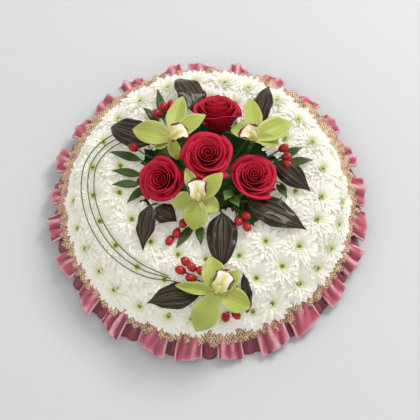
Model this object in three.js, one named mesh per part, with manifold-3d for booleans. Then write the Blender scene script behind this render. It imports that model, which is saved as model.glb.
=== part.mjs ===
// Funeral posy: a round foam posy pad edged with box-pleated satin ribbon and gathered gold net,
// massed all over with white chrysanthemum heads, with a centre spray of red roses and green
// cymbidium orchids, a smaller orchid spray at the front, dark leaves, ruscus, red hypericum
// berries and a loop of bear grass. Millimetres, +Z up, the origin under the middle of the pad.
import * as THREE from "three";
import { mergeVertices } from "three/addons/utils/BufferGeometryUtils.js";
import Module from "manifold-3d";

const wasm = await Module();
wasm.setup();

// Driving dimensions.
const CLEARANCE = 0.55; // kept between any two pieces
const PAD = { radius: 165, baseTop: 10, wallTop: 39, chamfer: 12, crown: 7, sides: 34 };
const BED = { radius: 181, height: 90, bow: 14, shoulder: 46 }; // the surface the flower tips make
const HEAD = { radius: 25, petals: 6, notch: 0.9, crest: 0.6, crestLift: 5.5, eyeLift: 1, calyxDrop: 7 };
const PEDICEL = { sides: 3, radius: 2.4, overrun: 3.2 }; // thins to a point past its joint
const KNOT = { radius: 6, above: 7 }; // where a spray's pedicels meet, above the foam
const OPEN_CENTRE = { y: 10, halfWidth: 78, halfDepth: 78 }; // no heads under the centre spray
const SATIN = { innerZ: 31, outer: 198, outerZ: 9, pleats: 25, stand: 4, thickness: 1.6 };
const NET = { innerZ: 38, outer: 187, outerZ: 27, pleats: 28, stand: 1.6, thickness: 1 };
const ROSE = { height: 42, thickness: 1, calyxDrop: 0.6, calyxHeight: 13 };
const TEPAL = { width: 27, thickness: 1 };
const LEAF = { thickness: 0.9, cup: -2 };
const RUSCUS = { width: 10.5, thickness: 0.9 };
const BERRY_RADIUS = 5.2;
const GRASS_RADIUS = 1;
const STEM_DEPTH = 17; // how far a stem is pushed into the foam
const HOLE_LEAD = 12; // how far a stem's hole reaches back out of the foam

const COLOUR = {
  polystyrene: 0xeeeeea,
  foam: 0x2f6b3c,
  satin: 0xa8314f,
  net: 0xc99a63,
  chrysanthemum: 0xf4f4ea,
  rose: 0xb0122a,
  green: 0x3f6b2c,
  orchid: 0xa9bf4e,
  lip: 0xf1e9c8,
  darkLeaf: 0x2c1f1c,
  berry: 0xc8202c,
  grass: 0x7f8f45,
};

const vector = (x, y, z) => new THREE.Vector3(x, y, z);
const radians = THREE.MathUtils.degToRad;
const mix = THREE.MathUtils.lerp;
const polar = (radius, degrees, z) =>
  vector(radius * Math.cos(radians(degrees)), radius * Math.sin(radians(degrees)), z);

// A repeatable run of numbers from 0 to 1.
function randomRun(seed) {
  let state = seed;
  return () => {
    state = (state * 16807) % 2147483647;
    return state / 2147483647;
  };
}

// Height and outward normal of the flower bed at a distance from the middle.
function bedHeight(radius) {
  const t = Math.min(radius / BED.radius, 1);
  return BED.height - BED.bow * t ** 2 - BED.shoulder * t ** 8;
}

function bedNormal(point) {
  const radius = Math.hypot(point.x, point.y);
  const slope = bedHeight(radius - 0.5) - bedHeight(radius + 0.5);
  const out = radius > 0 ? vector(point.x / radius, point.y / radius, 0) : vector(0, 0, 0);
  return out.multiplyScalar(slope).add(vector(0, 0, 1)).normalize();
}

// Height of the foam's top surface.
function foamHeight(radius) {
  const shoulder = PAD.radius - PAD.chamfer;
  const edge = PAD.wallTop + PAD.chamfer;
  if (radius < shoulder) return edge + PAD.crown * (1 - radius / shoulder);
  return edge - (radius - shoulder);
}

// Solids from points, geometries and paths.
function solidFrom(points, faces) {
  const a = vector();
  let volume = 0;
  for (const [i, j, k] of faces) volume += a.crossVectors(points[j], points[k]).dot(points[i]);
  const outward = volume < 0 ? faces.map(([i, j, k]) => [i, k, j]) : faces;
  const vertProperties = new Float32Array(points.flatMap((p) => [p.x, p.y, p.z]));
  const triVerts = new Uint32Array(outward.flat());
  return new wasm.Manifold(new wasm.Mesh({ numProp: 3, vertProperties, triVerts }));
}

function solidOf(geometry) {
  const bare = new THREE.BufferGeometry();
  bare.setAttribute("position", geometry.getAttribute("position"));
  if (geometry.index) bare.setIndex(geometry.index);
  const merged = mergeVertices(bare, 1e-3);
  const corners = merged.getAttribute("position");
  const points = [];
  for (let i = 0; i < corners.count; i += 1) points.push(vector().fromBufferAttribute(corners, i));
  const index = merged.index.array;
  const faces = [];
  for (let i = 0; i < index.length; i += 3) {
    const [p, q, r] = [index[i], index[i + 1], index[i + 2]];
    if (p !== q && q !== r && r !== p) faces.push([p, q, r]);
  }
  return solidFrom(points, faces);
}

function geometryOf(solid, inverseSeat) {
  const mesh = solid.getMesh();
  const geometry = new THREE.BufferGeometry();
  geometry.setAttribute("position", new THREE.BufferAttribute(new Float32Array(mesh.vertProperties), 3));
  geometry.setIndex(new THREE.BufferAttribute(new Uint32Array(mesh.triVerts), 1));
  geometry.applyMatrix4(inverseSeat);
  geometry.computeVertexNormals();
  return geometry;
}

const join = (solids) => solids.reduce((whole, solid) => whole.add(solid));
const largest = (solid) =>
  solid.decompose().reduce((best, body) => (body.volume() > best.volume() ? body : best));

// A stem or strand: a small polygon drawn along a path of points.
function tube(points, radius, sides = 3, steps = 1) {
  const outline = new THREE.Shape();
  for (let i = 0; i < sides; i += 1) {
    const angle = (2 * Math.PI * i) / sides;
    if (i === 0) outline.moveTo(radius, 0);
    else outline.lineTo(radius * Math.cos(angle), radius * Math.sin(angle));
  }
  outline.closePath();
  const path = points.length === 2 ? new THREE.LineCurve3(...points) : new THREE.CatmullRomCurve3(points);
  return solidOf(new THREE.ExtrudeGeometry(outline, { steps, extrudePath: path, bevelEnabled: false }));
}

// A sheet of real thickness under a grid of points, split alike on both faces. grid[row][column].
function sheet(grid, thickness, grow = 0) {
  const rows = grid.length;
  const columns = grid[0].length;
  const normals = grid.map((row, i) =>
    row.map((_, j) => {
      const along = vector().subVectors(grid[Math.min(i + 1, rows - 1)][j], grid[Math.max(i - 1, 0)][j]);
      const across = vector().subVectors(row[Math.min(j + 1, columns - 1)], row[Math.max(j - 1, 0)]);
      return across.cross(along).normalize();
    }),
  );
  const points = [];
  for (const [i, row] of grid.entries()) {
    for (const [j, p] of row.entries()) {
      points.push(p.clone().addScaledVector(normals[i][j], grow));
      points.push(p.clone().addScaledVector(normals[i][j], -thickness - grow));
    }
  }
  const top = (i, j) => 2 * (i * columns + j);
  const faces = [];
  const wall = (a, b) => faces.push([a, b, b + 1], [a, b + 1, a + 1]);
  for (let i = 0; i < rows - 1; i += 1) {
    for (let j = 0; j < columns - 1; j += 1) {
      const [a, b, c, d] = [top(i, j), top(i, j + 1), top(i + 1, j + 1), top(i + 1, j)];
      faces.push([a, b, c], [a, c, d], [a + 1, c + 1, b + 1], [a + 1, d + 1, c + 1]);
    }
    wall(top(i, 0), top(i + 1, 0));
    wall(top(i + 1, columns - 1), top(i, columns - 1));
  }
  for (let j = 0; j < columns - 1; j += 1) {
    wall(top(0, j + 1), top(0, j));
    wall(top(rows - 1, j), top(rows - 1, j + 1));
  }
  return solidFrom(points, faces);
}

// A leaf, tepal or sepal from its root to its tip. arch lifts its middle, cup lifts its edges, and
// profile gives the share of the full width at each station from root to tip.
function blade(root, tip, shape, grow = 0) {
  const { width, thickness, arch = 0, cup = 0, up = vector(0, 0, 1), roll = 0, profile } = shape;
  const columns = cup === 0 ? [-1, 1] : [-1, 0, 1];
  const along = vector().subVectors(tip, root);
  const length = along.length();
  along.normalize();
  const across = vector().crossVectors(along, up).normalize().applyAxisAngle(along, radians(roll));
  const lift = vector().crossVectors(across, along).normalize();
  const last = profile.length - 1;
  const grid = profile.map((share, i) => {
    const t = i / last;
    const end = t === 0 ? -grow : t === 1 ? grow : 0;
    const middle = root.clone().addScaledVector(along, t * length + end);
    middle.addScaledVector(lift, arch * Math.sin(Math.PI * Math.min(t, 1)));
    const half = (width / 2) * share + grow;
    return columns.map((side) =>
      middle
        .clone()
        .addScaledVector(across, side * half)
        .addScaledVector(lift, side === 0 ? 0 : cup * share),
    );
  });
  return sheet(grid, thickness, grow);
}

// The middles that the stems of the two sprays draw in to.
const CENTRE_MIDDLE = vector(0, OPEN_CENTRE.y, 0);
const FRONT_MIDDLE = vector(18, -138, 0);

// Stems and the plain holes that they stand in. Every stem that enters the foam is noted here.
const foamHoles = [];

function foamStem(top, foot, radius, grow = 0) {
  const down = vector().subVectors(foot, top).normalize();
  const end = foot.clone().addScaledVector(down, STEM_DEPTH + grow);
  if (grow === 0) {
    const holeEnd = end.clone().addScaledVector(down, CLEARANCE);
    foamHoles.push(tube([foot.clone().addScaledVector(down, -HOLE_LEAD), holeEnd], radius + CLEARANCE));
  }
  return tube([top, end], radius + grow);
}

// The point on the foam under a place on the bed, drawn in towards the middle of its spray.
function foamPoint(place, middle, share) {
  const x = mix(middle.x, place.x, share);
  const y = mix(middle.y, place.y, share);
  return vector(x, y, foamHeight(Math.hypot(x, y)));
}

// Pieces. shape(grow) gives a piece's solid, or the space it needs, in the pad's frame.
const posy = new THREE.Group();
const pad = new THREE.Group();
const edging = new THREE.Group();
const bed = new THREE.Group();
const centreSpray = new THREE.Group();
const frontSpray = new THREE.Group();
centreSpray.position.set(0, OPEN_CENTRE.y, PAD.wallTop + PAD.chamfer + PAD.crown);
frontSpray.position.set(12, -146, PAD.wallTop + PAD.chamfer);
posy.add(pad, edging, bed, centreSpray, frontSpray);
posy.updateMatrixWorld(true);

const pieces = [];

function addPiece(piece) {
  pieces.push({ seat: new THREE.Matrix4(), roughness: 0.7, trimmed: true, keepsRoom: true, ...piece });
}

const seatAt = (position, axis = vector(0, 0, 1)) =>
  new THREE.Matrix4().compose(
    position,
    new THREE.Quaternion().setFromUnitVectors(vector(0, 0, 1), axis.clone().normalize()),
    vector(1, 1, 1),
  );

// Pleated ring: a ribbon glued round the foam's wall, standing out over the rim of the pad. It is
// raised on each pleat's face and sunk in the fold between two pleats.
function pleatedRing(ribbon, faceShare, seed) {
  const random = randomRun(seed);
  const pitch = 360 / ribbon.pleats;
  const widest = Math.max(faceShare, 0.5) * pitch * 1.1;
  const innerRadius = (PAD.radius + CLEARANCE) / Math.cos(radians(widest / 2));
  const inner = vector(innerRadius, 0, ribbon.innerZ);
  const outer = vector(ribbon.outer, 0, ribbon.outerZ);
  const along = vector().subVectors(outer, inner).normalize();
  const proud = vector(-along.z, 0, along.x);
  const stations = [];
  for (let k = 0; k < ribbon.pleats; k += 1) {
    const start = pitch * (k + 0.08 * (random() - 0.5));
    const fold = pitch * (1 - faceShare);
    const stand = ribbon.stand * mix(0.8, 1, random());
    const reach = mix(-2.5, 0, random());
    const sunk = { stand: -ribbon.stand, reach: reach - 7 };
    stations.push({ angle: start, stand, reach });
    if (faceShare > 0) stations.push({ angle: start + pitch * faceShare, stand, reach });
    stations.push({ angle: start + pitch - 0.5 * fold, ...sunk });
  }
  const points = [];
  const turn = (p, angle) => points.push(p.applyAxisAngle(vector(0, 0, 1), radians(angle)));
  for (const { angle, stand, reach } of stations) {
    const foot = inner.clone();
    const rim = outer.clone().addScaledVector(along, reach * (ribbon.stand / SATIN.stand));
    const half = ribbon.thickness / 2;
    const innerStand = stand * 0.45;
    turn(foot.clone().add(vector(0, 0, innerStand + half)), angle);
    turn(rim.clone().addScaledVector(proud, stand + half), angle);
    turn(rim.clone().addScaledVector(proud, stand - half), angle);
    turn(foot.clone().add(vector(0, 0, innerStand - half)), angle);
  }
  const faces = [];
  const count = stations.length;
  for (let k = 0; k < count; k += 1) {
    const next = (k + 1) % count;
    for (let side = 0; side < 4; side += 1) {
      const [a, b] = [4 * k + side, 4 * k + ((side + 1) % 4)];
      const [c, d] = [4 * next + ((side + 1) % 4), 4 * next + side];
      faces.push([a, b, c], [a, c, d]);
    }
  }
  return solidFrom(points, faces);
}

// Chrysanthemum heads: where each stands, its normal, and the spray that it belongs to.
function headPlaces() {
  const random = randomRun(71);
  const places = [];
  const ring = (radius, count, sprayOf, offset) => {
    for (let k = 0; k < count; k += 1) {
      const angle = ((k + offset) * 360) / count + mix(-1.6, 1.6, random());
      const reach = radius + mix(-1.6, 1.6, random());
      const centre = polar(reach, angle, bedHeight(reach));
      const openX = centre.x / OPEN_CENTRE.halfWidth;
      const openY = (centre.y - OPEN_CENTRE.y) / OPEN_CENTRE.halfDepth;
      const underFront = Math.hypot(centre.x - FRONT_MIDDLE.x, centre.y - FRONT_MIDDLE.y) < 14;
      if (Math.hypot(openX, openY) < 1 || underFront) continue;
      places.push({ centre, normal: bedNormal(centre), spray: sprayOf(k), spin: 360 * random() });
    }
  };
  ring(167, 32, (k) => Math.floor(k / 4), 0.5);
  ring(140, 24, (k) => Math.floor(k / 3), 0.5);
  ring(107, 18, (k) => 8 + Math.floor(k / 3), 0.5);
  ring(72, 12, (k) => 8 + Math.floor(k / 2), 0.5);
  return places;
}

// One head: an outer layer of petals, an inner layer whose raised tips stand over the notches of the
// outer one, a sunk eye, and a pedicel down to the joint of its spray. Petals stop short of the
// next head.
function headSolid(head, heads, joint) {
  const { centre, normal } = head;
  const side = vector(0, 1, 0).cross(normal).normalize();
  side.applyAxisAngle(normal, radians(head.spin));
  const ahead = vector().crossVectors(normal, side);
  const neighbours = heads.filter((other) => other !== head && other.centre.distanceTo(centre) < 2 * HEAD.radius);
  const towards = (angle) => side.clone().multiplyScalar(Math.cos(angle)).addScaledVector(ahead, Math.sin(angle));
  const reachOf = (direction) =>
    neighbours.reduce((reach, other) => {
      const between = vector().subVectors(other.centre, centre);
      const half = between.length() / 2 - CLEARANCE;
      const share = direction.dot(between.normalize());
      return share > 0.05 ? Math.min(reach, half / share) : reach;
    }, HEAD.radius);
  const petalPoint = (direction, reach, lift) =>
    centre.clone().addScaledVector(direction, reach).addScaledVector(normal, lift);
  const crests = [];
  const rims = [];
  for (let k = 0; k < HEAD.petals; k += 1) {
    const tip = towards((2 * Math.PI * k) / HEAD.petals);
    const notch = towards((2 * Math.PI * (k + 0.5)) / HEAD.petals);
    rims.push(petalPoint(tip, reachOf(tip), 0), petalPoint(notch, reachOf(notch) * HEAD.notch, -2));
    crests.push(petalPoint(notch, reachOf(notch) * HEAD.crest, HEAD.crestLift));
  }
  const calyx = centre.clone().addScaledVector(normal, -HEAD.calyxDrop);
  const toJoint = vector().subVectors(joint, calyx).normalize();
  const necks = Array.from({ length: PEDICEL.sides }, (_, s) =>
    calyx.clone().addScaledVector(towards((2 * Math.PI * s) / PEDICEL.sides), PEDICEL.radius),
  );
  const eye = centre.clone().addScaledVector(normal, HEAD.eyeLift);
  const end = joint.clone().addScaledVector(toJoint, PEDICEL.overrun);
  const points = [eye, end, ...crests, ...rims, ...necks];
  const crest = (k) => 2 + (k % HEAD.petals);
  const rim = (k) => 2 + HEAD.petals + (k % (2 * HEAD.petals));
  const neck = (s) => 2 + 3 * HEAD.petals + (s % PEDICEL.sides);
  const faces = [];
  for (let k = 0; k < HEAD.petals; k += 1) {
    const nextTip = 2 * k + 2;
    faces.push([0, crest(k), crest(k + 1)]);
    faces.push([crest(k), rim(2 * k), rim(2 * k + 1)], [crest(k), rim(2 * k + 1), rim(nextTip)]);
    faces.push([crest(k), rim(nextTip), crest(k + 1)]);
  }
  for (let k = 0; k < 2 * HEAD.petals; k += 1) {
    const s = Math.round((k * PEDICEL.sides) / (2 * HEAD.petals));
    const next = Math.round(((k + 1) * PEDICEL.sides) / (2 * HEAD.petals));
    faces.push([rim(k), neck(s), rim(k + 1)]);
    if (next !== s) faces.push([neck(s), neck(next), rim(k + 1)]);
  }
  for (let s = 0; s < PEDICEL.sides; s += 1) faces.push([neck(s), 1, neck(s + 1)]);
  return solidFrom(points, faces);
}

function chrysanthemumSprays() {
  const heads = headPlaces();
  const sprays = [...new Set(heads.map((head) => head.spray))].sort((a, b) => a - b);
  for (const spray of sprays) {
    const own = heads.filter((head) => head.spray === spray);
    const outerBand = spray < 8;
    const angle = outerBand ? 45 * spray + 22.5 : 60 * (spray - 8) + 30;
    const radius = outerBand ? 146 : 92;
    const joint = polar(radius, angle, foamHeight(radius) + KNOT.above);
    const build = () => {
      const knot = solidOf(new THREE.OctahedronGeometry(KNOT.radius)).translate(joint.x, joint.y, joint.z);
      const stem = foamStem(joint, vector(joint.x, joint.y, foamHeight(radius)), 2.2);
      return join([knot, stem, ...own.map((head) => headSolid(head, heads, joint))]);
    };
    addPiece({
      name: `chrysanthemum_spray_${String(spray + 1).padStart(2, "0")}`,
      group: bed,
      colour: COLOUR.chrysanthemum,
      roughness: 0.6,
      keepsRoom: false,
      seat: seatAt(joint),
      shape: build,
    });
  }
}

// Rose bloom: a tight heart inside three layers of cupped petals, each petal's leading edge outside
// the one before it. Built round its own axis, its base at the origin.
const ROSE_LAYERS = [
  { count: 3, belly: 10, rim: 8.5, rimHeight: 0.95, trail: 0.76, lead: 1.2 },
  { count: 3, belly: 16.5, rim: 17, rimHeight: 1, trail: 0.86, lead: 1.12 },
  { count: 4, belly: 24, rim: 26.5, rimHeight: 0.86, trail: 0.9, lead: 1.08 },
];

function roseBloom(size) {
  const profile = [
    [0, 0],
    [9, 0],
    [11, 4],
    [5, 30],
    [0, 34],
  ].map(([x, y]) => new THREE.Vector2(x, y));
  const heart = solidOf(new THREE.LatheGeometry(profile, 5).rotateX(Math.PI / 2));
  const petals = ROSE_LAYERS.flatMap((layer, level) =>
    Array.from({ length: layer.count }, (_, k) => {
      const pitch = 360 / layer.count;
      const start = k * pitch + level * 37;
      const span = pitch * 1.22;
      const across = level < 2 ? 2 : 3;
      const rows = [
        { radius: 3.4 + 2.2 * level, z: 2.4 },
        { radius: layer.belly, z: ROSE.height * 0.42 },
        { radius: layer.rim, z: ROSE.height * layer.rimHeight },
      ];
      const grid = rows.map(({ radius, z }, row) =>
        Array.from({ length: across + 1 }, (_, j) => {
          const u = j / across;
          const spread = row === 0 ? 0.42 : 1;
          const angle = start + span * (0.5 + (u - 0.5) * spread);
          const pinwheel = row === 0 ? 1 : mix(layer.trail, layer.lead, u);
          const dip = row === 2 ? -3 * Math.abs(2 * u - 1) : 0;
          return polar(radius * pinwheel, angle, z + dip);
        }),
      );
      return sheet(grid.map((row) => row.reverse()), ROSE.thickness);
    }),
  );
  return join([heart, ...petals]).scale(size);
}

// The room a bloom needs, as one smooth cup.
function roseRoom(size) {
  const widen = 1.06;
  const profile = [
    [0, -0.6],
    [10.5, -0.4],
    [21, 8],
    [27.5, 20],
    [29.6, 36],
    [27, 42.8],
    [0, 42.8],
  ].map(([x, y]) => new THREE.Vector2(x * widen, y));
  return solidOf(new THREE.LatheGeometry(profile, 12).rotateX(Math.PI / 2)).scale(size);
}

const ROSES = [
  { face: vector(0, 2, 150), lean: vector(0, -0.18, 1), size: 1.02, spin: 20 },
  { face: vector(-59, -23, 129), lean: vector(-0.3, -0.42, 1), size: 0.95, spin: 70 },
  { face: vector(56, -16, 132), lean: vector(0.14, -0.06, 1), size: 0.96, spin: 140 },
  { face: vector(11, 79, 122), lean: vector(0, 0.75, 1), size: 0.95, spin: 200 },
];

function roses() {
  for (const [k, rose] of ROSES.entries()) {
    const axis = rose.lean.clone().normalize();
    const base = rose.face.clone().addScaledVector(axis, -ROSE.height * rose.size);
    const seat = seatAt(base, axis);
    const place = (solid) => solid.rotate(0, 0, rose.spin).transform(seat.elements);
    addPiece({
      name: `rose_bloom_${k + 1}`,
      group: centreSpray,
      colour: COLOUR.rose,
      roughness: 0.55,
      seat,
      shape: (grow) => place(grow > 0 ? roseRoom(rose.size) : roseBloom(rose.size)),
    });
    // Green receptacle with its five sepals, and the stem down into the foam.
    const top = base.clone().addScaledVector(axis, -ROSE.calyxDrop);
    const bend = base.clone().addScaledVector(axis, -ROSE.calyxHeight);
    const foot = foamPoint(bend, CENTRE_MIDDLE, 0.72);
    addPiece({
      name: `rose_stem_${k + 1}`,
      group: centreSpray,
      colour: COLOUR.green,
      seat: seatAt(bend, axis),
      shape: (grow) => {
        const receptacle = tube([top, bend], 4.6 + grow, 4);
        const sepals = [18, 90, 162, 234, 306].map((turn) => {
          const out = vector(Math.cos(radians(turn)), Math.sin(radians(turn)), 0).transformDirection(seat);
          const root = top.clone().addScaledVector(axis, -2).addScaledVector(out, 2);
          const tip = root.clone().addScaledVector(out, 14).addScaledVector(axis, -4);
          return blade(root, tip, { width: 7, thickness: 0.9, up: axis, profile: [1, 0.12] }, grow);
        });
        const stem = foamStem(bend.clone().addScaledVector(axis, 2), foot, 2.6, grow);
        return join([receptacle, stem, ...sepals]);
      },
    });
  }
}

// Cymbidium orchids: five tepals round the ovary, and a lip and column standing clear of them.
const TEPAL_PROFILE = [0.26, 0.95, 0.93, 0.16];
const ORCHIDS = [
  {
    heart: vector(-42, 27, 134),
    facing: vector(-0.2, -0.15, 1),
    lipTip: vector(-22, 41, 143),
    tepals: [
      { tip: vector(-91, 48, 121), arch: 4 },
      { tip: vector(-31, 91, 123), arch: 3 },
      { tip: vector(-4, 55, 126), arch: 3, width: 24 },
      { tip: vector(-36, 5, 121), arch: 2, width: 14 },
    ],
  },
  {
    heart: vector(54, 24, 138),
    facing: vector(0.15, -0.1, 1),
    lipTip: vector(33, 24, 146),
    tepals: [
      { tip: vector(51, 90, 122), arch: 4 },
      { tip: vector(101, 58, 120), arch: 4 },
      { tip: vector(88, 20, 124), arch: 4, width: 20 },
      { tip: vector(27, 45, 128), arch: 6, width: 20 },
    ],
  },
  {
    heart: vector(-11, -48, 124),
    facing: vector(0, -0.3, 1),
    lipTip: vector(-14, -27, 139),
    tepals: [
      { tip: vector(-14, -83, 104), arch: 5 },
      { tip: vector(-43, -50, 116), arch: 3, width: 22 },
      { tip: vector(-28, -16, 131), arch: 2, width: 14 },
      { tip: vector(20, -27, 137), arch: 3, width: 20 },
      { tip: vector(14, -55, 112), arch: 2, width: 20 },
    ],
  },
  {
    heart: vector(10, -150, 92),
    facing: vector(0.05, -0.35, 1),
    lipTip: vector(24, -128, 105),
    tepals: [
      { tip: vector(-14, -187, 58), arch: 9, width: 31 },
      { tip: vector(50, -162, 70), arch: 6 },
      { tip: vector(3, -108, 99), arch: 4 },
      { tip: vector(38, -126, 99), arch: 3, width: 20 },
      { tip: vector(-38, -142, 92), arch: 3, width: 18 },
    ],
  },
];

function orchidLip(orchid, grow) {
  const facing = orchid.facing.clone().normalize();
  const root = orchid.heart.clone().addScaledVector(facing, 2.8);
  const along = vector().subVectors(orchid.lipTip, root);
  const length = along.length();
  along.normalize();
  const across = vector().crossVectors(along, facing).normalize();
  const lift = vector().crossVectors(across, along);
  const rows = [
    { t: 0, half: 5, edge: 6, middle: 0 },
    { t: 0.4, half: 10, edge: 8, middle: 1 },
    { t: 0.75, half: 12, edge: 5, middle: 3 },
    { t: 1, half: 8, edge: -2, middle: 0 },
  ];
  const grid = rows.map(({ t, half, edge, middle }) =>
    [-1, -0.55, 0, 0.55, 1].map((side) =>
      root
        .clone()
        .addScaledVector(along, t * length)
        .addScaledVector(across, side * (half + grow))
        .addScaledVector(lift, middle + edge * side * side),
    ),
  );
  const trough = sheet(grid, 1.2, grow);
  const columnTop = root.clone().addScaledVector(lift, 12).addScaledVector(along, 7);
  const column = tube([root.clone().addScaledVector(lift, -0.9), columnTop], 3.2 + grow, 5);
  return join([trough, column]);
}

function orchidFlower(orchid, foot, grow) {
  const facing = orchid.facing.clone().normalize();
  const tepals = orchid.tepals.map(({ tip, arch, width = TEPAL.width }) =>
    blade(
      orchid.heart,
      tip,
      { width, thickness: TEPAL.thickness, arch, up: facing, profile: TEPAL_PROFILE },
      grow,
    ),
  );
  const ovaryFoot = orchid.heart.clone().addScaledVector(facing, -16);
  const ovary = tube([orchid.heart.clone().addScaledVector(facing, 0.6), ovaryFoot], 3.6 + grow, 5);
  const stem = foamStem(ovaryFoot.clone().addScaledVector(facing, 2), foot, 2.2, grow);
  return join([ovary, stem, ...tepals]);
}

function orchids() {
  for (const [k, orchid] of ORCHIDS.entries()) {
    const atFront = k === 3;
    const group = atFront ? frontSpray : centreSpray;
    const middle = atFront ? FRONT_MIDDLE : CENTRE_MIDDLE;
    const foot = foamPoint(orchid.heart, middle, atFront ? 0.4 : 0.66);
    const seat = seatAt(orchid.heart, orchid.facing);
    addPiece({
      name: `orchid_lip_${k + 1}`,
      group,
      colour: COLOUR.lip,
      roughness: 0.5,
      seat,
      shape: (grow) => orchidLip(orchid, grow),
    });
    addPiece({
      name: `orchid_flower_${k + 1}`,
      group,
      colour: COLOUR.orchid,
      roughness: 0.5,
      seat,
      shape: (grow) => orchidFlower(orchid, foot, grow),
    });
  }
}

// Dark glossy leaves, each on its own short stalk.
const LEAF_PROFILE = [0.12, 0.8, 1, 0.8, 0.1];
const LEAVES = [
  { root: vector(-12, 80, 100), tip: vector(-42, 133, 95), arch: 9, width: 38, roll: 25 },
  { root: vector(-66, 40, 102), tip: vector(-122, 66, 97), arch: 7, width: 34, roll: -12 },
  { root: vector(58, 60, 104), tip: vector(80, 128, 90), arch: 6, width: 30, roll: -35 },
  { root: vector(80, 12, 106), tip: vector(121, -22, 93), arch: 10, width: 32, roll: 15 },
  { root: vector(47, -40, 104), tip: vector(117, -70, 90), arch: 6, width: 36, roll: 0 },
  { root: vector(17, -54, 100), tip: vector(16, -118, 92), arch: 5, width: 38, roll: 0 },
  { root: vector(-68, -44, 103), tip: vector(-77, -98, 91), arch: 5, width: 24, roll: 15 },
  { root: vector(-62, -47, 100), tip: vector(-36, -63, 98), arch: 3, width: 27, roll: 0 },
  { root: vector(-10, -150, 84), tip: vector(-72, -154, 68), arch: 9, width: 33, roll: 0 },
  { root: vector(40, -162, 66), tip: vector(42, -127, 94), arch: 2, width: 13, roll: 0 },
];

function darkLeaves() {
  for (const [k, leaf] of LEAVES.entries()) {
    const atFront = k >= 8;
    const foot = foamPoint(leaf.root, atFront ? FRONT_MIDDLE : CENTRE_MIDDLE, atFront ? 0.35 : 0.5);
    const root = leaf.root;
    addPiece({
      name: `dark_leaf_${String(k + 1).padStart(2, "0")}`,
      group: atFront ? frontSpray : centreSpray,
      colour: COLOUR.darkLeaf,
      roughness: 0.25,
      seat: seatAt(root),
      shape: (grow) => {
        const shape = { ...leaf, ...LEAF, profile: LEAF_PROFILE };
        const stalkTop = root.clone().lerp(leaf.tip, 0.04);
        return join([blade(root, leaf.tip, shape, grow), foamStem(stalkTop, foot, 1.7, grow)]);
      },
    });
  }
}

// Hypericum berries: a woody stalk that forks to each berry.
const BERRY_SPRIGS = [
  { fork: vector(-38, 62, 84), berries: [vector(-62, 79, 103), vector(-52, 89, 106), vector(-42, 97, 103)] },
  { fork: vector(-55, 20, 84), berries: [vector(-90, 32, 103)] },
  { fork: vector(56, 20, 84), berries: [vector(90, 36, 107), vector(94, 22, 103), vector(95, 8, 102)] },
  { fork: vector(32, -38, 84), berries: [vector(45, -57, 99), vector(46, -71, 98), vector(36, -64, 98)] },
  { fork: vector(-24, -42, 84), berries: [vector(-29, -68, 101), vector(-37, -79, 97), vector(-45, -87, 94)] },
  {
    fork: vector(8, -134, 74),
    front: true,
    berries: [
      vector(-26, -114, 96),
      vector(-32, -124, 94),
      vector(-19, -122, 99),
      vector(-20, -133, 92),
      vector(-8, -126, 97),
    ],
  },
  { fork: vector(22, -152, 62), front: true, berries: [vector(31, -171, 62), vector(20, -172, 60)] },
];

function berrySprigs() {
  for (const [k, sprig] of BERRY_SPRIGS.entries()) {
    const foot = foamPoint(sprig.fork, sprig.front ? FRONT_MIDDLE : CENTRE_MIDDLE, 0.84);
    addPiece({
      name: `berry_sprig_${k + 1}`,
      group: sprig.front ? frontSpray : centreSpray,
      colour: COLOUR.berry,
      roughness: 0.35,
      seat: seatAt(sprig.fork),
      shape: (grow) => {
        const berries = sprig.berries.flatMap((berry) => [
          solidOf(new THREE.IcosahedronGeometry(BERRY_RADIUS + grow)).translate(berry.x, berry.y, berry.z),
          tube([sprig.fork, berry], 1 + grow),
        ]);
        return join([foamStem(sprig.fork, foot, 1.9, grow), ...berries]);
      },
    });
  }
}

// Ruscus and small foliage: pointed leaves along a stalk.
const RUSCUS_PROFILE = [0.2, 1, 0.1];
const RUSCUS_SPRIGS = [
  {
    fork: vector(-42, 52, 84),
    leaves: [[vector(-54, 78, 90), vector(-63, 119, 95)], [vector(-58, 72, 88), vector(-80, 92, 96)]],
  },
  {
    fork: vector(-58, 4, 78),
    leaves: [
      [vector(-80, 20, 92), vector(-120, 31, 95)],
      [vector(-80, 0, 92), vector(-116, 5, 96)],
      [vector(-82, -12, 92), vector(-115, -14, 96)],
      [vector(-74, -14, 90), vector(-96, -38, 96)],
    ],
  },
  {
    fork: vector(58, 4, 84),
    leaves: [
      [vector(90, 28, 92), vector(118, 40, 96)],
      [vector(92, 16, 92), vector(128, 20, 95)],
      [vector(84, -8, 90), vector(94, -32, 96)],
    ],
  },
  {
    fork: vector(-10, -47, 84),
    leaves: [[vector(-18, -66, 92), vector(-37, -96, 95)], [vector(-10, -66, 92), vector(-8, -94, 96)]],
  },
  {
    fork: vector(28, -30, 88),
    leaves: [
      [vector(28, -32, 104), vector(36, -50, 112)],
      [vector(27, -26, 106), vector(20, -44, 116)],
    ],
  },
];

function ruscusSprigs() {
  for (const [k, sprig] of RUSCUS_SPRIGS.entries()) {
    const foot = foamPoint(sprig.fork, CENTRE_MIDDLE, 0.9);
    addPiece({
      name: `ruscus_sprig_${k + 1}`,
      group: centreSpray,
      colour: COLOUR.green,
      seat: seatAt(sprig.fork),
      shape: (grow) => {
        const blades = sprig.leaves.flatMap(([root, tip]) => [
          blade(root, tip, { ...RUSCUS, arch: 2, profile: RUSCUS_PROFILE }, grow),
          tube([sprig.fork, root.clone().lerp(tip, 0.08)], 1 + grow),
        ]);
        return join([foamStem(sprig.fork, foot, 1.8, grow), ...blades]);
      },
    });
  }
}

// Bear grass: strands that rise beside the upper left leaf, swing round the left of the bed a
// little above the flowers, and go in again at the front spray.
const STRANDS = [
  { middle: 150, end: 137 },
  { middle: 143, end: 133 },
  { middle: 136, end: 129 },
];

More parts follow.
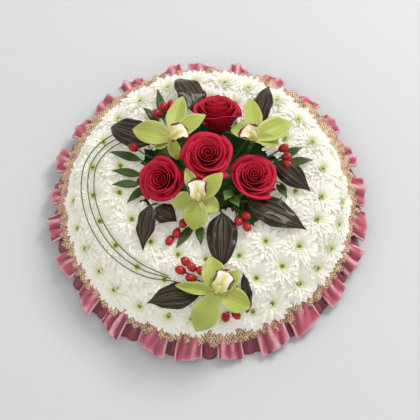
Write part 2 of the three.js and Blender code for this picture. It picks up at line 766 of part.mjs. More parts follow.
function grassStrands() {
  const above = 8;
  const turns = 10;
  for (const [k, strand] of STRANDS.entries()) {
    const inHole = (foot, leanX, leanY) => foot.clone().add(vector(leanX, leanY, -STEM_DEPTH));
    const start = vector(-54 + 3 * k, 40 - 5 * k, foamHeight(66));
    const endAngle = 253 - 2.4 * k;
    const last = polar(strand.end - 3, endAngle + 4, foamHeight(138));
    const loop = Array.from({ length: turns }, (_, step) => {
      const t = step / (turns - 1);
      const angle = mix(146 + 2 * k, endAngle, t);
      const first = 112 - 7 * k;
      const rise = 1 - (1 - Math.min(1, t / 0.3)) ** 2;
      const radius = mix(mix(first, strand.middle, rise), strand.end, t ** 5);
      const surface = polar(radius, angle, bedHeight(radius));
      return surface.addScaledVector(bedNormal(surface), above);
    });
    const path = [
      inHole(start, 10, -5),
      start,
      vector(-76 + 3 * k, 53 - 7 * k, 86),
      ...loop,
      last.clone().add(vector(-2, 0, 14)),
      last,
      inHole(last, 3, 0),
    ];
    for (const [a, b] of [[start, path[0]], [last, path.at(-1)]]) {
      const down = vector().subVectors(b, a).normalize();
      const holeEnd = b.clone().addScaledVector(down, CLEARANCE);
      foamHoles.push(tube([a.clone().addScaledVector(down, -HOLE_LEAD), holeEnd], GRASS_RADIUS + 1.5));
    }
    addPiece({
      name: `grass_strand_${k + 1}`,
      group: bed,
      colour: COLOUR.grass,
      roughness: 0.5,
      seat: seatAt(start),
      shape: (grow) => tube(path, GRASS_RADIUS + grow, 3, 18),
    });
  }
}

// The pad: a polystyrene tray under a block of floral foam with a bevelled top edge.
function padPieces() {
  const lathe = (outline) =>
    solidOf(new THREE.LatheGeometry(outline.map(([x, y]) => new THREE.Vector2(x, y)), PAD.sides).rotateX(Math.PI / 2));
  const foamBottom = PAD.baseTop + CLEARANCE;
  addPiece({
    name: "pad_base",
    group: pad,
    colour: COLOUR.polystyrene,
    roughness: 0.85,
    trimmed: false,
    shape: () =>
      lathe([
        [0, 0],
        [PAD.radius, 0],
        [PAD.radius, PAD.baseTop],
        [0, PAD.baseTop],
      ]),
  });
  addPiece({
    name: "foam_pad",
    group: pad,
    colour: COLOUR.foam,
    roughness: 0.95,
    trimmed: false,
    seat: seatAt(vector(0, 0, foamBottom)),
    shape: () => {
      const block = lathe([
        [0, foamBottom],
        [PAD.radius, foamBottom],
        [PAD.radius, PAD.wallTop],
        [PAD.radius - PAD.chamfer, PAD.wallTop + PAD.chamfer],
        [0, PAD.wallTop + PAD.chamfer + PAD.crown],
      ]);
      return block.subtract(join(foamHoles));
    },
  });
  addPiece({
    name: "satin_pleats",
    group: edging,
    colour: COLOUR.satin,
    roughness: 0.3,
    trimmed: false,
    seat: seatAt(vector(0, 0, SATIN.innerZ)),
    shape: () => pleatedRing(SATIN, 0.66, 5),
  });
  addPiece({
    name: "gold_net",
    group: edging,
    colour: COLOUR.net,
    roughness: 0.45,
    trimmed: false,
    seat: seatAt(vector(0, 0, NET.innerZ)),
    shape: () => pleatedRing(NET, 0, 9),
  });
}

roses();
orchids();
darkLeaves();
berrySprigs();
ruscusSprigs();
grassStrands();
chrysanthemumSprays();
padPieces();

// Earlier pieces keep their form, and what a later one would cross is trimmed back to a small gap.
const rooms = [];
for (const piece of pieces) {
  let solid = piece.shape(0);
  const overlaps = (a, b) =>
    a.min.every((low, axis) => low <= b.max[axis]) && b.min.every((low, axis) => low <= a.max[axis]);
  if (piece.trimmed) {
    const bounds = solid.boundingBox();
    for (const room of rooms) {
      if (overlaps(bounds, room.bounds)) solid = solid.subtract(room.solid);
    }
    if (piece.keepsRoom) {
      const room = piece.shape(CLEARANCE);
      rooms.push({ solid: room, bounds: room.boundingBox() });
    }
    solid = largest(solid.simplify(0.2));
  }
  const seatInGroup = piece.group.matrixWorld.clone().invert().multiply(piece.seat);
  const material = new THREE.MeshStandardMaterial({
    color: piece.colour,
    roughness: piece.roughness,
    metalness: 0,
    flatShading: true,
  });
  const mesh = new THREE.Mesh(geometryOf(solid, piece.seat.clone().invert()), material);
  mesh.name = piece.name;
  mesh.applyMatrix4(seatInGroup);
  piece.group.add(mesh);
}

export default posy;
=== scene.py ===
import math

import bpy
import numpy as np
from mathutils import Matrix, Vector


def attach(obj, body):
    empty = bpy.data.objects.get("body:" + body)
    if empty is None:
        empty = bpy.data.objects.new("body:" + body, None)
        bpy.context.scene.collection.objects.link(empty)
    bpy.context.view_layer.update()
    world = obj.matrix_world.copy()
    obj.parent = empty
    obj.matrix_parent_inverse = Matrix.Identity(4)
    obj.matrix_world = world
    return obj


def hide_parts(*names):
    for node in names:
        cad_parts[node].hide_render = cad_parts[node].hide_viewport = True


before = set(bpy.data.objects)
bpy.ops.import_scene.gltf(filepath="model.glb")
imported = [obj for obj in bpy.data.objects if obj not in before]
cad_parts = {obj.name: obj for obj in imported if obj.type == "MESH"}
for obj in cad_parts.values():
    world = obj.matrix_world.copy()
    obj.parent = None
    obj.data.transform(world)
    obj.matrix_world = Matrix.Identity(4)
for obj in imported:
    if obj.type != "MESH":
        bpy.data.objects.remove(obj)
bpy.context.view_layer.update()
print("posy: frame loaded")

metres = 0.001  # lengths are in millimetres, apart from the studio's

# The pad and the domed surface that the flower tips make.
padShape = {"radius": 165, "shoulder": 153, "edge": 51, "crown": 7}
bedShape = {"radius": 181, "height": 90, "bow": 14, "shoulder": 46}
centreMiddle = (0, 10)
frontMiddle = (18, -138)
stemDepth = 15
seeds = {  # where the random draws of each kind of piece start
    "heads": 100, "roses": 300, "orchids": 500, "darkLeaves": 700, "berries": 900, "ruscus": 1100,
    "grass": 1300, "satin": 5, "net": 9,
}


def vec(x, y, z):
    return np.array([x, y, z], float)


def unit(v):
    return v / np.maximum(np.linalg.norm(v, axis=-1, keepdims=True), 1e-9)


def mix(a, b, t):
    return a + (b - a) * t


def readAt(t, values):  # values spread evenly from 0 to 1, read at t
    return np.interp(t, np.linspace(0, 1, len(values)), values)


def bedHeight(radius):
    t = min(radius / bedShape["radius"], 1)
    return bedShape["height"] - bedShape["bow"] * t**2 - bedShape["shoulder"] * t**8


def bedNormal(point):
    radius = math.hypot(point[0], point[1])
    slope = bedHeight(radius - 0.5) - bedHeight(radius + 0.5)
    return unit(vec(point[0] / radius * slope, point[1] / radius * slope, 1))


def foamHeight(radius):
    if radius < padShape["shoulder"]:
        return padShape["edge"] + padShape["crown"] * (1 - radius / padShape["shoulder"])
    return padShape["edge"] - (radius - padShape["shoulder"])


def foamPoint(place, atFront, share):  # where a stem enters, between the middle of its spray and its top
    middle = frontMiddle if atFront else centreMiddle
    x = mix(middle[0], place[0], share)
    y = mix(middle[1], place[1], share)
    return vec(x, y, foamHeight(math.hypot(x, y)))


def polar(radius, degrees, z):
    angle = math.radians(degrees)
    return vec(radius * math.cos(angle), radius * math.sin(angle), z)


def axesOf(axis, spin):  # two directions square to an axis, and the axis
    axis = unit(axis)
    side = unit(np.cross(vec(0, 1, 0), axis))
    ahead = np.cross(axis, side)
    angle = math.radians(spin)
    return (
        side * math.cos(angle) + ahead * math.sin(angle),
        ahead * math.cos(angle) - side * math.sin(angle),
        axis,
    )


class Shape:  # grids of points that become one mesh, with four numbers at each point
    def __init__(self):
        self.points = []
        self.faces = []
        self.slots = []
        self.info = []
        self.count = 0

    def add(self, grid, info, slot=0, wrap=False, caps=False):
        grid = grid.reshape((-1,) + grid.shape[-3:])
        sheets, rows, columns, _ = grid.shape
        info = np.broadcast_to(info, grid.shape[:3] + (4,)).reshape(-1, 4)
        index = np.arange(sheets * rows * columns).reshape(sheets, rows, columns) + self.count
        left = index if wrap else index[:, :, :-1]
        right = np.roll(index, -1, axis=2) if wrap else index[:, :, 1:]
        quads = np.stack([left[:, :-1], right[:, :-1], right[:, 1:], left[:, 1:]], -1).reshape(-1, 4)
        faces = quads.tolist()
        if caps:
            faces += index[:, 0, ::-1].tolist() + index[:, -1].tolist()
        self.points.append(grid.reshape(-1, 3))
        self.info.append(info)
        self.faces += faces
        self.slots += [slot] * len(faces)
        self.count += sheets * rows * columns


def addObject(name, data):
    thing = bpy.data.objects.new(name, data)
    bpy.context.scene.collection.objects.link(thing)
    return thing


def makePiece(name, shape, materials, replaced, thickness=0):
    mesh = bpy.data.meshes.new(name)
    points = np.concatenate(shape.points) * metres
    mesh.from_pydata(points.tolist(), [], shape.faces)
    mesh.polygons.foreach_set("material_index", np.array(shape.slots, np.int32))
    mesh.polygons.foreach_set("use_smooth", np.ones(len(shape.faces), bool))
    petalInfo = mesh.attributes.new("petalInfo", "FLOAT_COLOR", "POINT")
    petalInfo.data.foreach_set("color", np.concatenate(shape.info).astype(np.float32).ravel())
    for material in materials:
        mesh.materials.append(material)
    piece = addObject(name, mesh)
    if thickness:
        body = piece.modifiers.new("body", "SOLIDIFY")
        body.thickness = thickness * metres
        body.offset = -1
    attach(piece, "root")
    if replaced:
        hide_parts(*replaced)
    return piece


def infoOf(along, across, seed, depth):
    return np.stack(np.broadcast_arrays(along, across, seed, depth), -1)


# A leaf, tepal or sepal: "arch" bends it up along its length, "cup" across, "crease" sinks its rib,
# "wave" ripples its edges and "hook" turns its tip down.
def addBlade(shape, root, tip, spec, rows, columns, rng, slot=0):
    along = tip - root
    length = np.linalg.norm(along)
    along = along / length
    across = unit(np.cross(along, spec.get("up", vec(0, 0, 1))))
    roll = math.radians(spec.get("roll", 0))
    across = across * math.cos(roll) + np.cross(along, across) * math.sin(roll)
    lift = unit(np.cross(across, along))
    t = np.linspace(0, 1, rows)[:, None]
    c = np.linspace(-1, 1, columns)[None, :]
    share = readAt(t, spec["profile"])
    height = spec.get("arch", 0) * np.sin(np.pi * t) + spec.get("cup", 0) * share * c**2
    height = height - spec.get("crease", 0) * share * (1 - np.abs(c)) ** 2
    ripple = t * spec.get("waves", 4) * 2 * np.pi + np.sign(c) * 1.3 + spec.get("phase", 0)
    height = height + spec.get("wave", 0) * share * np.abs(c) ** 2 * np.sin(ripple)
    height = height - spec.get("hook", 0) * np.clip((t - 0.7) / 0.3, 0, 1) ** 2
    half = spec["width"] / 2 * share
    grid = root + along * (t * length)[..., None] + across * (half * c)[..., None] + lift * height[..., None]
    shape.add(grid, infoOf(t, (c + 1) / 2, rng.random(), 0.5), slot)


def addTube(shape, path, radii, sides, slot=0, info=(0.5, 0.5, 0.5, 0.5)):
    path = np.asarray(path, float)
    tangents = unit(np.gradient(path, axis=0))
    side = unit(np.cross(tangents[0], vec(0.31, 0.77, 0.55)))  # any direction that no stem runs in
    angles = np.arange(sides) * 2 * np.pi / sides
    rings = []
    for point, tangent, radius in zip(path, tangents, radii):
        side = unit(side - tangent * side.dot(tangent))
        other = np.cross(tangent, side)
        rings.append(point + radius * (np.outer(np.cos(angles), side) + np.outer(np.sin(angles), other)))
    shape.add(np.array(rings), info, slot, wrap=True, caps=True)


def curveThrough(points, steps):  # a smooth line through points, evenly stepped
    points = np.asarray(points, float)
    ends = np.vstack([2 * points[0] - points[1], points, 2 * points[-1] - points[-2]])
    dense = []
    for a, b, c, d in zip(ends, ends[1:], ends[2:], ends[3:]):
        for t in np.linspace(0, 1, 12, endpoint=False):
            bend = (2 * a - 5 * b + 4 * c - d) * t**2
            dense.append(0.5 * (2 * b + (c - a) * t + bend + (3 * b - a - 3 * c + d) * t**3))
    dense = np.array(dense + [points[-1]])
    walked = np.concatenate([[0], np.cumsum(np.linalg.norm(np.diff(dense, axis=0), axis=1))])
    at = np.linspace(0, walked[-1], steps)
    return np.stack([np.interp(at, walked, dense[:, k]) for k in range(3)], -1)


def stalk(shape, points, radii, slot, rng, steps, sides=6):
    wide = readAt(np.linspace(0, 1, steps), radii)
    addTube(shape, curveThrough(points, steps), wide, sides, slot, (0.5, 0.5, rng.random(), 0.5))


def intoFoam(foot, above):  # where a stem that comes from above ends in the foam
    return foot + unit(foot - above) * stemDepth


def forkStem(shape, fork, foot, radius, rng):  # the straight stem under a fork
    stalk(shape, [fork + vec(0, 0, 1), foot, intoFoam(foot, fork)], [radius, radius], 1, rng, 5)


# Shared effects, built once as node groups that take and give plain values.
def makeGroup(name, inputs, outputs):
    group = bpy.data.node_groups.new(name, "ShaderNodeTree")
    for label, value in inputs.items():
        socket = group.interface.new_socket(label, in_out="INPUT", socket_type="NodeSocketFloat")
        socket.default_value = value
    for label in outputs:
        group.interface.new_socket(label, in_out="OUTPUT", socket_type="NodeSocketFloat")
    return group, group.nodes.new("NodeGroupInput"), group.nodes.new("NodeGroupOutput")


def setInputs(node, values):
    for label, value in values.items():
        node.inputs[label].default_value = value


def mathNode(tree, operation, a, b=None, clamp=False):
    node = tree.nodes.new("ShaderNodeMath")
    node.operation = operation
    node.use_clamp = clamp
    for socket, value in zip(node.inputs, (a, b)):
        if value is None:
            continue
        if isinstance(value, (int, float)):
            socket.default_value = value
        else:
            tree.links.new(value, socket)
    return node.outputs[0]


def times(tree, a, b, clamp=False):
    return mathNode(tree, "MULTIPLY", a, b, clamp)


def plus(tree, a, b, clamp=False):
    return mathNode(tree, "ADD", a, b, clamp)


def minus(tree, a, b):
    return mathNode(tree, "SUBTRACT", a, b)


def mixColour(tree, factor, a, b):
    node = tree.nodes.new("ShaderNodeMix")
    node.data_type = "RGBA"
    for socket, value in ((node.inputs[0], factor), (node.inputs[6], a), (node.inputs[7], b)):
        if isinstance(value, tuple):
            socket.default_value = (*value, 1)
        else:
            tree.links.new(value, socket)
    return node.outputs[2]


def rampOf(tree, factor, stops):
    node = tree.nodes.new("ShaderNodeValToRGB")
    node.color_ramp.interpolation = "EASE"
    while len(node.color_ramp.elements) < len(stops):
        node.color_ramp.elements.new(0.5)
    for element, (position, value) in zip(node.color_ramp.elements, stops):
        element.position = position
        element.color = (*value, 1) if isinstance(value, tuple) else (value, value, value, 1)
    tree.links.new(factor, node.inputs[0])
    return node.outputs[0]


def petalCoordinates():  # the four numbers kept at each point of a piece, and how far it is from the rib
    group, _, out = makeGroup("petalCoordinates", {}, ("Along", "Across", "Seed", "Depth", "From Rib"))
    read = group.nodes.new("ShaderNodeAttribute")
    read.attribute_name = "petalInfo"
    parts = group.nodes.new("ShaderNodeSeparateColor")
    group.links.new(read.outputs["Color"], parts.inputs[0])
    for k in range(3):
        group.links.new(parts.outputs[k], out.inputs[k])
    group.links.new(read.outputs["Alpha"], out.inputs["Depth"])
    fromRib = mathNode(group, "ABSOLUTE", minus(group, parts.outputs[1], 0.5))
    group.links.new(fromRib, out.inputs["From Rib"])
    return group


def petalVeins():  # fine lines that run from root to tip, a little uneven
    inputs = {"Along": 0.5, "Across": 0.5, "Seed": 0.5, "Count": 9.0, "Waver": 0.3}
    group, given, out = makeGroup("petalVeins", inputs, ("Height", "Lines"))
    where = group.nodes.new("ShaderNodeCombineXYZ")
    for k in range(3):
        group.links.new(given.outputs[k], where.inputs[k])
    noise = group.nodes.new("ShaderNodeTexNoise")
    setInputs(noise, {"Scale": 3.0, "Detail": 2.0})
    group.links.new(where.outputs[0], noise.inputs["Vector"])
    swing = times(group, noise.outputs[0], given.outputs["Waver"])
    across = plus(group, given.outputs["Across"], swing)
    phase = times(group, times(group, across, given.outputs["Count"]), 2 * math.pi)
    height = plus(group, times(group, mathNode(group, "SINE", phase), 0.5), 0.5)
    group.links.new(height, out.inputs["Height"])
    group.links.new(mathNode(group, "POWER", height, 6.0), out.inputs["Lines"])
    return group


def mottle():  # soft patches of light and dark, and a fine grain
    group, given, out = makeGroup("mottle", {"Patch Scale": 60.0, "Grain Scale": 900.0}, ("Patches", "Grain"))
    where = group.nodes.new("ShaderNodeTexCoord")
    for label, detail, name in (("Patch Scale", 3.0, "Patches"), ("Grain Scale", 2.0, "Grain")):
        noise = group.nodes.new("ShaderNodeTexNoise")
        noise.inputs["Detail"].default_value = detail
        group.links.new(where.outputs["Object"], noise.inputs["Vector"])
        group.links.new(given.outputs[label], noise.inputs["Scale"])
        group.links.new(noise.outputs[0], out.inputs[name])
    return group


groups = {"coordinates": petalCoordinates(), "veins": petalVeins(), "mottle": mottle()}
groupKeys = {"Count": "veins", "Waver": "waver", "Patch Scale": "patchScale", "Grain Scale": "grainScale"}
lookDefaults = {  # what a look below has where it doesn't say otherwise
    "veins": 9, "waver": 0.15, "patchScale": 70, "grainScale": 1200, "grainHeight": 0.5,
    "bump": 0.4, "bumpDepth": 0.25, "deepShare": 1, "veinShare": 0.2, "veinColour": (0.6, 0.6, 0.5),
    "patchShare": 0.5, "patchFloor": 0.4,
    "ribStops": [(0.0, 1.0), (0.035, 0.0)], "edgeStops": [(0.38, 0.0), (0.5, 1.0)], "shader": {},
}


def plainMaterial(name, settings):  # the Principled shader and its fixed values
    material = bpy.data.materials.new(name)
    material.use_nodes = True
    shader = material.node_tree.nodes["Principled BSDF"]
    setInputs(shader, settings)
    return material, material.node_tree, shader


# A material, and by name the values that the shared groups it uses give in it.
def startMaterial(name, look, uses=("coordinates", "veins", "mottle")):
    material, tree, shader = plainMaterial(name, look["shader"])
    given = {}
    for use in uses:
        node = tree.nodes.new("ShaderNodeGroup")
        node.node_tree = groups[use]
        for socket in node.inputs:
            if socket.name in given:
                tree.links.new(given[socket.name], socket)
            else:
                socket.default_value = look[groupKeys[socket.name]]
        given.update({socket.name: socket for socket in node.outputs})
    return material, tree, shader, given


def finishMaterial(tree, shader, look, colour, rough, height):
    low, high = look["roughness"]
    tree.links.new(colour, shader.inputs["Base Color"])
    tree.links.new(plus(tree, times(tree, rough, high - low), low), shader.inputs["Roughness"])
    bump = tree.nodes.new("ShaderNodeBump")
    setInputs(bump, {"Strength": look["bump"], "Distance": look["bumpDepth"] * metres})
    tree.links.new(height, bump.inputs["Height"])
    tree.links.new(bump.outputs[0], shader.inputs["Normal"])


def petalMaterial(name, look):  # a petal or leaf whose colour runs from root to tip
    look = {**lookDefaults, **look}
    material, tree, shader, given = startMaterial(name, look)
    sources = {
        "deep": given["Depth"], "vein": given["Lines"],
        "patch": minus(tree, given["Patches"], look["patchFloor"]),
        "rib": given["From Rib"], "edge": given["From Rib"],
    }
    colour = rampOf(tree, given["Along"], look["alongStops"])
    for part, source in sources.items():
        if part + "Colour" in look:
            mask = rampOf(tree, source, look[part + "Stops"]) if part + "Stops" in look else source
            share = times(tree, mask, look[part + "Share"], True)
            colour = mixColour(tree, share, colour, look[part + "Colour"])
    height = plus(tree, given["Height"], times(tree, given["Grain"], look["grainHeight"]))
    finishMaterial(tree, shader, look, colour, given["Grain"], height)
    return material


petalWhite = petalMaterial("chrysanthemumPetal", {
    "veins": 3, "roughness": (0.45, 0.6), "bump": 0.3,
    "alongStops": [(0.0, (0.70, 0.76, 0.36)), (0.14, (0.88, 0.89, 0.66)), (0.34, (0.87, 0.85, 0.775)),
                   (1, (0.885, 0.86, 0.80))],
    "deepStops": [(0.0, 0.85), (0.12, 0.6), (0.3, 0.0)], "deepColour": (0.62, 0.70, 0.13),
    "veinShare": 0.12, "veinColour": (0.82, 0.84, 0.74), "patchShare": 0.2, "patchColour": (0.88, 0.87, 0.78),
    # the faint warm emission is painted light: a glow that lightens the shade between the petals
    "shader": {"Specular IOR Level": 0.2, "Emission Color": (1.0, 0.97, 0.86, 1), "Emission Strength": 0.125},
})
eyeGreen = petalMaterial("chrysanthemumEye", {
    "veins": 2, "roughness": (0.5, 0.7), "bump": 0.3,
    "alongStops": [(0, (0.10, 0.20, 0.02)), (0.5, (0.33, 0.45, 0.05)), (1, (0.66, 0.70, 0.12))],
    # deepColour here is painted shade: darker green down at the floret bases and in the middle of the disc
    "deepStops": [(0, 0.75), (0.6, 0)], "deepColour": (0.05, 0.12, 0.015),
    "patchShare": 0.3, "patchColour": (0.70, 0.66, 0.10), "shader": {"Specular IOR Level": 0.25},
})
stemGreen = petalMaterial("stemGreen", {
    "veins": 5, "roughness": (0.45, 0.65), "alongStops": [(0, (0.07, 0.15, 0.03)), (1, (0.10, 0.20, 0.04))],
    "patchColour": (0.17, 0.24, 0.06), "shader": {"Specular IOR Level": 0.4},
})
roseRed = petalMaterial("rosePetal", {
    "roughness": (0.5, 0.7), "bump": 0.35, "bumpDepth": 0.3, "waver": 0.25,
    # alongStops paint light over the red: painted shade dark at the root deep in the bloom, painted highlight
    # lightest just inside the rolled lip
    "alongStops": [(0, (0.10, 0.002, 0.005)), (0.5, (0.34, 0.005, 0.018)), (0.85, (0.58, 0.010, 0.042)),
                   (0.97, (0.65, 0.022, 0.064)), (1, (0.52, 0.008, 0.034))],
    # deepColour here is painted shade: the petals of the tight heart are darker, where the bloom is deepest
    "deepStops": [(0, 0.55), (0.35, 0.2), (0.8, 0)], "deepColour": (0.28, 0.005, 0.018),
    "veinShare": 0.15, "veinColour": (0.36, 0.004, 0.016), "patchColour": (0.48, 0.006, 0.026),
    "shader": {"Sheen Weight": 0.12, "Sheen Roughness": 0.4, "Sheen Tint": (1, 0.2, 0.3, 1),
               "Specular IOR Level": 0.2},
})
tepalGreen = petalMaterial("orchidTepal", {
    "veins": 6, "roughness": (0.35, 0.5), "bump": 0.45, "bumpDepth": 0.35,
    "alongStops": [(0, (0.62, 0.62, 0.18)), (0.25, (0.48, 0.53, 0.10)), (0.75, (0.43, 0.49, 0.08)),
                   (1, (0.56, 0.58, 0.15))],
    "edgeShare": 0.5, "edgeColour": (0.66, 0.66, 0.27), "veinShare": 0.4, "veinColour": (0.34, 0.42, 0.06),
    "patchShare": 0.7, "patchColour": (0.60, 0.60, 0.19),
    "shader": {"Specular IOR Level": 0.4, "Coat Weight": 0.08, "Coat Roughness": 0.3},
})
leafDark = petalMaterial("darkLeaf", {
    "veins": 5, "roughness": (0.16, 0.30), "bump": 0.8, "bumpDepth": 0.7, "waver": 0.12,
    "alongStops": [(0, (0.030, 0.024, 0.009)), (0.4, (0.024, 0.013, 0.008)), (1, (0.036, 0.015, 0.010))],
    "ribShare": 0.45, "ribColour": (0.22, 0.19, 0.07), "edgeShare": 0.6, "edgeColour": (0.045, 0.035, 0.018),
    # veinColour is partly the real paler veins and partly painted highlight: glossy streaks painted along the
    # veins
    "veinShare": 0.38, "veinColour": (0.19, 0.165, 0.11),
    "patchShare": 0.6, "patchColour": (0.055, 0.030, 0.016),
    "shader": {"Coat Weight": 0.24, "Coat Roughness": 0.08, "Specular IOR Level": 0.18},
})
ruscusGreen = petalMaterial("ruscusLeaf", {
    "veins": 4, "roughness": (0.3, 0.45),
    "alongStops": [(0, (0.07, 0.11, 0.014)), (0.5, (0.045, 0.082, 0.012)), (1, (0.055, 0.095, 0.014))],
    "veinShare": 0.25, "veinColour": (0.13, 0.18, 0.04), "patchColour": (0.08, 0.13, 0.02),
    "shader": {"Coat Weight": 0.12, "Coat Roughness": 0.25, "Specular IOR Level": 0.3},
})
leafBright = petalMaterial("brightLeaf", {
    "veins": 4, "roughness": (0.3, 0.45),
    "alongStops": [(0, (0.13, 0.24, 0.03)), (0.5, (0.08, 0.20, 0.02)), (1, (0.10, 0.24, 0.03))],
    "veinShare": 0.25, "veinColour": (0.2, 0.32, 0.08), "patchColour": (0.14, 0.28, 0.04),
    "shader": {"Coat Weight": 0.25, "Coat Roughness": 0.25},
})
berryRed = petalMaterial("hypericumBerry", {
    "veins": 3, "roughness": (0.18, 0.32), "bump": 0.12,
    "alongStops": [(0, (0.42, 0.06, 0.012)), (0.25, (0.50, 0.012, 0.014)), (0.85, (0.44, 0.008, 0.012)),
                   (1, (0.20, 0.015, 0.01))],
    "veinShare": 0.05, "veinColour": (0.5, 0.05, 0.03), "patchColour": (0.66, 0.05, 0.02),
    "shader": {"Coat Weight": 0.3, "Coat Roughness": 0.12, "Specular IOR Level": 0.35},
})
grassOlive = petalMaterial("bearGrass", {
    "veins": 4, "roughness": (0.35, 0.5), "bump": 0.3,
    "alongStops": [(0, (0.08, 0.10, 0.03)), (0.5, (0.11, 0.13, 0.04)), (1, (0.08, 0.11, 0.03))],
    "veinShare": 0.3, "veinColour": (0.10, 0.13, 0.03), "patchShare": 0.6, "patchColour": (0.18, 0.19, 0.07),
    "shader": {"Specular IOR Level": 0.4},
})
lipLook = {
    "veins": 7, "waver": 0.3, "patchScale": 420, "grainScale": 1500, "roughness": (0.35, 0.5), "bump": 0.35,
    "alongStops": [(0, (0.60, 0.62, 0.22)), (0.3, (0.86, 0.82, 0.52)), (0.6, (0.90, 0.87, 0.72))],
    "throatAcross": [(0.0, 0.8), (0.14, 0.35), (0.24, 0)], "throatAlong": [(0.1, 1.0), (0.7, 0.9), (0.85, 0)],
    "throatColour": (0.80, 0.58, 0.04), "marginStops": [(0.62, 0.0), (0.74, 1.0)], "marginRag": 0.22,
    "marginColour": (0.20, 0.008, 0.030), "shader": {"Specular IOR Level": 0.4, "Coat Weight": 0.05},
}
satinLook = {
    "veins": 60, "waver": 0.02, "patchScale": 45, "grainScale": 700, "roughness": (0.16, 0.36), "bump": 0.35,
    "bumpDepth": 0.6, "patchShare": 0.4, "patchColour": (0.36, 0.035, 0.085), "threadHeight": 0.25,
    "paintedLightStops": [(0.0, (0.15, 0.020, 0.034)), (0.3, (0.25, 0.032, 0.055)), (0.5, (0.44, 0.064, 0.100)),
                  (0.72, (0.63, 0.135, 0.180)), (0.9, (0.87, 0.39, 0.44)), (1, (0.94, 0.60, 0.63))],
    "shader": {"Sheen Weight": 0.12, "Sheen Roughness": 0.3, "Sheen Tint": (1, 0.55, 0.66, 1),
               "Specular IOR Level": 0.8, "Specular Tint": (1, 0.78, 0.86, 1), "Coat Weight": 0.15,
               "Coat Roughness": 0.16},
}
netLook = {
    "patchScale": 160, "grainScale": 1400, "roughness": (0.3, 0.5), "bump": 0.6, "bumpDepth": 0.4,
    "threadsRound": 340, "threadsAcross": 5, "ragged": 2, "threadStops": [(0.45, 0.0), (0.85, 1.0)],
    "wornStops": [(0.25, 0.35), (0.6, 1.0)], "threadColour": (0.93, 0.68, 0.44), "threadMetal": 0.3,
    "groundStops": [(0.3, (0.24, 0.085, 0.040)), (0.5, (0.46, 0.22, 0.10)), (0.75, (0.64, 0.38, 0.21))],
    "groundCover": 0.55, "shader": {"Specular IOR Level": 0.6},
}
padLooks = {
    "foam_pad": {
        "name": "floralFoam", "low": (0.020, 0.075, 0.030), "high": (0.045, 0.14, 0.055),
        "patchScale": 40, "grainScale": 900, "cells": 360, "roughness": (0.85, 1.0)},
    "pad_base": {
        "name": "polystyrene", "low": (0.72, 0.72, 0.70), "high": (0.84, 0.84, 0.82),
        "patchScale": 30, "grainScale": 500, "cells": 200, "roughness": (0.6, 0.8)},
}


def lipMaterial(look):  # cream, yellow in the throat, with a dark red margin
    look = {**lookDefaults, **look}
    material, tree, shader, given = startMaterial("orchidLip", look)
    colour = rampOf(tree, given["Along"], look["alongStops"])
    middle = rampOf(tree, given["From Rib"], look["throatAcross"])
    throat = times(tree, middle, rampOf(tree, given["Along"], look["throatAlong"]))
    colour = mixColour(tree, throat, colour, look["throatColour"])
    rag = times(tree, minus(tree, given["Patches"], 0.5), look["marginRag"])
    margin = rampOf(tree, plus(tree, given["Depth"], rag), look["marginStops"])
    colour = mixColour(tree, margin, colour, look["marginColour"])
    height = plus(tree, given["Height"], given["Grain"])
    finishMaterial(tree, shader, look, colour, given["Grain"], height)
    return material


def satinMaterial(look):  # fine threads along the ribbon, lighter where it turns to the light
    look = {**lookDefaults, **look}
    material, tree, shader, given = startMaterial("satinRibbon", look)
    # a ramp of painted shade and painted highlight: dark crimson in the folds, light pink where the satin
    # turns to the light
    face = rampOf(tree, given["Depth"], look["paintedLightStops"])
    colour = mixColour(tree, times(tree, given["Patches"], look["patchShare"]), face, look["patchColour"])
    height = plus(tree, times(tree, given["Height"], look["threadHeight"]), given["Patches"])
    finishMaterial(tree, shader, look, colour, given["Patches"], height)
    return material


def netMaterial(look):  # open gold threads over a darker ground
    look = {**lookDefaults, **look}
    material, tree, shader, given = startMaterial("goldNet", look, ("coordinates", "mottle"))
    ragged = times(tree, given["Patches"], look["ragged"])
    turn = plus(tree, times(tree, given["Along"], 2 * math.pi * look["threadsRound"]), ragged)
    rise = times(tree, given["Across"], 2 * math.pi * look["threadsAcross"])
    one = mathNode(tree, "SINE", plus(tree, turn, rise))
    two = mathNode(tree, "SINE", minus(tree, turn, rise))
    threads = times(tree, plus(tree, mathNode(tree, "MAXIMUM", one, two), 1), 0.5)
    worn = rampOf(tree, given["Patches"], look["wornStops"])
    thread = times(tree, rampOf(tree, threads, look["threadStops"]), worn)
    ground = rampOf(tree, given["Patches"], look["groundStops"])
    colour = mixColour(tree, thread, ground, look["threadColour"])
    tree.links.new(times(tree, thread, look["threadMetal"]), shader.inputs["Metallic"])
    cover = plus(tree, times(tree, thread, 1 - look["groundCover"]), look["groundCover"], True)
    tree.links.new(cover, shader.inputs["Alpha"])
    finishMaterial(tree, shader, look, colour, given["Grain"], thread)
    return material


def padMaterial(look):  # foam or polystyrene: cells and soft patches
    look = {**lookDefaults, "bump": 0.5, "bumpDepth": 0.5, "shader": {"Specular IOR Level": 0.2}, **look}
    material, tree, shader, given = startMaterial(look["name"], look, ("mottle",))
    bead = tree.nodes.new("ShaderNodeTexVoronoi")
    bead.inputs["Scale"].default_value = look["cells"]
    where = tree.nodes.new("ShaderNodeTexCoord")
    tree.links.new(where.outputs["Object"], bead.inputs["Vector"])
    colour = mixColour(tree, given["Patches"], look["low"], look["high"])
    finishMaterial(tree, shader, look, colour, given["Grain"], bead.outputs["Distance"])
    return material


lipCream = lipMaterial(lipLook)
satinPink = satinMaterial(satinLook)
netGold = netMaterial(netLook)
print("posy: finishes made")

